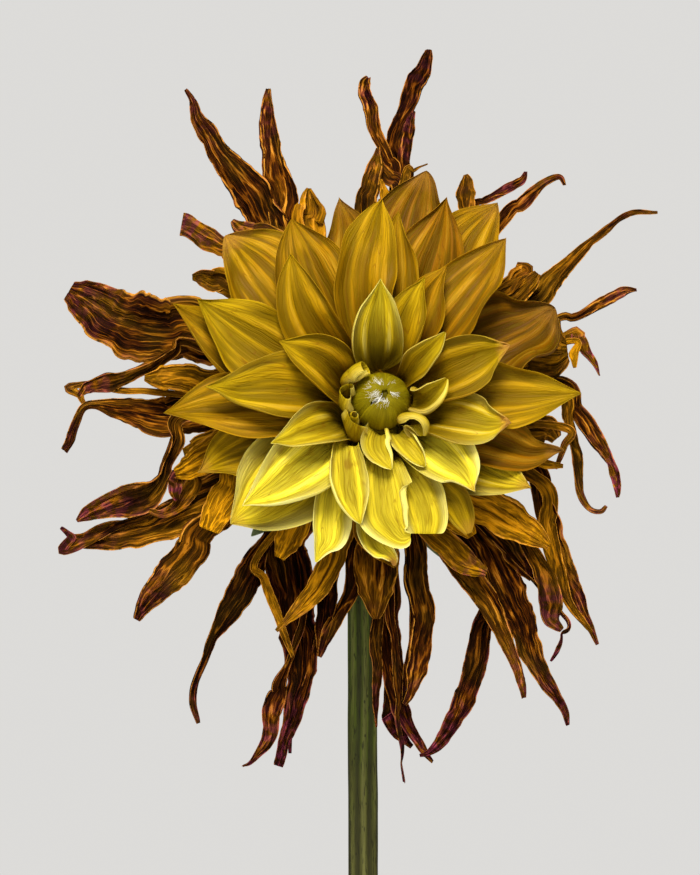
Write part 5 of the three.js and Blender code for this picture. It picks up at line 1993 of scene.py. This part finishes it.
@dataclass
class Vase:
    """The plain glass bottle vase and its water."""

    outside: tuple[Pair, ...] = (
        (20, 1.6), (30.5, 0.6), (32, 0), (33.6, 0.1), (36.6, 2.4), (38.7, 8), (40.4, 16), (41.7, 27),
        (42, 38), (41.4, 51), (39.4, 63), (35.6, 76), (30, 88), (23.6, 99), (17.4, 110),
        (13.6, 119), (11.6, 128), (10.6, 136), (10.4, 142), (10.8, 147.5), (11.8, 151.6), (13.2, 154.2),
        (13.6, 155.2), (13.3, 155.9),
    )
    inside: tuple[Pair, ...] = (
        (12.2, 155.9), (11.2, 155), (9.8, 152.6), (8.4, 147.5), (7.7, 142), (8, 136), (9, 128),
        (11, 119), (14.4, 110), (20.4, 99), (26.8, 88), (32.6, 76), (36.6, 63), (38.5, 51),
        (39, 38), (38.6, 27), (37, 17), (34, 12), (29, 9.4), (14, 9),
    )
    # The water's curved rim and its top, from the wall inwards: how far in or out, and how far up.
    rim: tuple[Pair, ...] = ((1.05, -1.4), (0.25, 0.25), (-0.5, 0.1), (-1.6, -0.55), (-3.6, -0.8))
    water_level: float = 92.0
    creep: float = 0.25
    segments: int = 48

    def build(self, glass: Material, water: Material) -> list[Piece]:
        """Builds the vase and the water.

        Args:
            glass: The glass.
            water: The water.

        Returns:
            The pieces.
        """
        vase = Maker.turned("vase", (*self.outside, *self.inside), self.segments, 2)
        Maker.settle(vase, glass, "vase_glass", 80)
        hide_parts("vase")
        rising, level = self.inside[::-1], self.water_level
        walls = [(r + self.creep, h) for r, h in rising if 9.2 < h < level - 6]
        edge = float(np.interp(level, *zip(*[(h, r) for r, h in rising])))
        rim = [(edge + out, level + up) for out, up in self.rim]
        profile = [(14.0, 9.0 - self.creep), *walls, *rim, (6.0, level - 0.8)]
        body = Maker.turned("water", profile, self.segments, 2)
        Maker.settle(body, water, "water", 80)
        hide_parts("water")
        return [vase, body]


class Lamp(NamedTuple):
    """A soft square lamp: its name, its place and side in metres, its power in watts and its colour."""

    name: str
    place: Triple
    size: float
    power: float
    colour: Triple


@dataclass
class Studio:
    """The plain room round the object: floor, lights and camera."""

    camera_distance: float = 6.0
    frame_height: float = 0.28
    aim: Triple = (-0.0048, -0.09, 0.31296)
    sensor: float = 24.0

    LAMPS = (
        Lamp("key", (-0.06, -0.8, 1.06), 0.45, 18.5, (1.0, 0.97, 0.92)),
        Lamp("front", (-0.15, -1.2, 0.42), 0.6, 3.2, (1.0, 0.97, 0.93)),
        Lamp("side_left", (-0.9, -0.2, 0.5), 0.4, 1.1, (1.0, 0.97, 0.94)),
        Lamp("side_right", (0.9, -0.2, 0.55), 0.4, 1.2, (1.0, 0.97, 0.94)),
        Lamp("back", (0.3, 1.1, 0.8), 0.6, 3.0, (1.0, 0.98, 0.95)),
    )
    FLOOR = MottledFinish("pale floor", (0.3, (0.74, 0.73, 0.71)), (0.7, (0.78, 0.77, 0.75)), 6.0, 3.0, 0.7)

    def build(self) -> None:
        """Sets the floor, the lights, the sky and the camera."""
        bpy.context.scene.view_settings.view_transform = "Standard"
        Maker.select()
        bpy.ops.mesh.primitive_circle_add(vertices=96, radius=2.6, fill_type="NGON", location=(0, 0, 0))
        floor = bpy.context.object
        floor.name = "floor"
        floor.data.materials.append(self.FLOOR.material())
        self._sky()
        for lamp in self.LAMPS:
            light = bpy.data.lights.new(lamp.name, "AREA")
            light.size, light.energy, light.color = lamp.size, lamp.power, lamp.colour
            stand = self._stand(lamp.name, light, lamp.place)
            stand.rotation_euler = (Vector(self.aim) - stand.location).to_track_quat("-Z", "Y").to_euler()
        camera = bpy.data.cameras.new("camera")
        camera.sensor_fit = "VERTICAL"
        camera.sensor_height = self.sensor
        camera.lens = self.sensor * self.camera_distance / self.frame_height
        x, y, z = self.aim
        stand = self._stand("camera", camera, (x, y - self.camera_distance, z))
        stand.rotation_euler = (radians(90), 0.0, 0.0)
        bpy.context.scene.camera = stand

    def _sky(self) -> None:
        """A pale room: bright to the eye and through glass, and a softer light on the object."""
        world = bpy.data.worlds.new("pale room")
        bpy.context.scene.world = world
        world.use_nodes = True
        nodes = Nodes(world.node_tree)
        shown, leave = (world.node_tree.nodes[name] for name in ("Background", "World Output"))
        nodes.feed(shown, {"Color": (0.80, 0.79, 0.77), "Strength": 0.9})
        light = nodes.add("ShaderNodeBackground", {"Color": (0.86, 0.88, 0.92), "Strength": 0.07})
        ray = nodes.add("ShaderNodeLightPath")
        seen = nodes.out(ray, "Is Transmission Ray") * 0.6 + nodes.out(ray, "Is Camera Ray")
        choose = nodes.add("ShaderNodeMixShader", {0: seen, 1: nodes.out(light), 2: nodes.out(shown)})
        nodes.feed(leave, {"Surface": nodes.out(choose)})

    @staticmethod
    def _stand(name: str, data: bpy.types.ID, place: Triple) -> Piece:
        """Stands a lamp or the camera at its place.

        Args:
            name: Its name.
            data: The lamp or the camera.
            place: Where it stands, in metres.

        Returns:
            The stand.
        """
        stand = bpy.data.objects.new(name, data)
        bpy.context.scene.collection.objects.link(stand)
        stand.location = place
        return stand


YELLOW = PetalFinish(
    name="yellow petal", tip=(0.57, 0.40, 0.004), middle=(0.40, 0.25, 0.001), root=(0.11, 0.058, 0.0005),
    aged_and_shaded=(0.33, 0.13, 0.001), rim=(0.98, 0.9, 0.28), lemon=(0.97, 0.79, 0.04), aged_highlight=(0.80, 0.46, 0.03),
    mark=(0.16, 0.055, 0.001), browned=(0.46, 0.22, 0.035), roughness=0.5, veins=9.0, relief=0.3,
)
GREEN = PetalFinish(
    name="bud petal", tip=(0.26, 0.21, 0.003), middle=(0.29, 0.22, 0.002), root=(0.10, 0.08, 0.001),
    aged_and_shaded=(0.25, 0.17, 0.002), rim=(0.40, 0.34, 0.01), lemon=(0.40, 0.34, 0.01), aged_highlight=(0.36, 0.28, 0.006),
    mark=(0.05, 0.04, 0.001), browned=(0.30, 0.16, 0.03), roughness=0.42, veins=13.0, relief=0.2,
)
WITHERED = DryFinish(
    name="withered petal", valley=(0.006, 0.0015, 0.0003), flank=(0.045, 0.0105, 0.0008), ridge=(0.20, 0.058, 0.002),
    crown=(0.84, 0.36, 0.035), turning=(0.66, 0.29, 0.004), olive=(0.16, 0.082, 0.004), purple=(0.46, 0.055, 0.13),
    roughness=0.6, ridges=8.0, relief=0.5,
)
SKIN = StemFinish(
    name="stem skin", fresh=(0.105, 0.15, 0.008), faded=(0.085, 0.085, 0.018), pale=(0.19, 0.19, 0.05),
    streak_and_shade=(0.018, 0.017, 0.005), roughness=0.42, fade=(0.5, 0.8),
)
LEAF = StemFinish(
    name="bract skin", fresh=(0.24, 0.31, 0.13), faded=(0.30, 0.33, 0.18), pale=(0.46, 0.48, 0.28),
    streak_and_shade=(0.10, 0.11, 0.04), roughness=0.5, fade=(0.3, 0.9),
)
SILK_COLOUR = (0.86, 0.85, 0.76)
SILK = MottledFinish("silky hair", (0.0, tint(SILK_COLOUR, 0.8)), (1.0, SILK_COLOUR), 900.0, 1.0, 0.35)
GLASS = ClearFinish("clear glass", (0.96, 0.985, 0.975), 0.02, 1.5, 0.25)
WATER = ClearFinish("clear water", (0.965, 0.985, 0.965), 0.0, 1.333, 0.0)


def main() -> None:
    """Builds the object, piece by piece, and the studio round it."""
    logging.basicConfig(level=logging.INFO, format="%(name)s: %(message)s")
    grain = grain_group()
    fresh = YELLOW.material(grain)
    nest = Nest()
    LivingBloom(
        cornets=ShapedFlorets("fresh_florets_cornets", CORNETS, 11.6, 1.0, 300),
        folded=ShapedFlorets("fresh_florets_folded", FOLDED, 14.8, -0.6, 330),
        rings=FreshFlorets(),
    ).build(nest, fresh)
    Seat().build(fresh)
    Bud().build(GREEN.material(grain), SILK.material())
    OldFlorets().build(nest, WITHERED.material(wrinkle_group()))
    Stem().build(SKIN.material(grain), LEAF.material(grain))
    Vase().build(GLASS.material(), WATER.material())
    Studio().build()


if __name__ == "__main__":
    main()
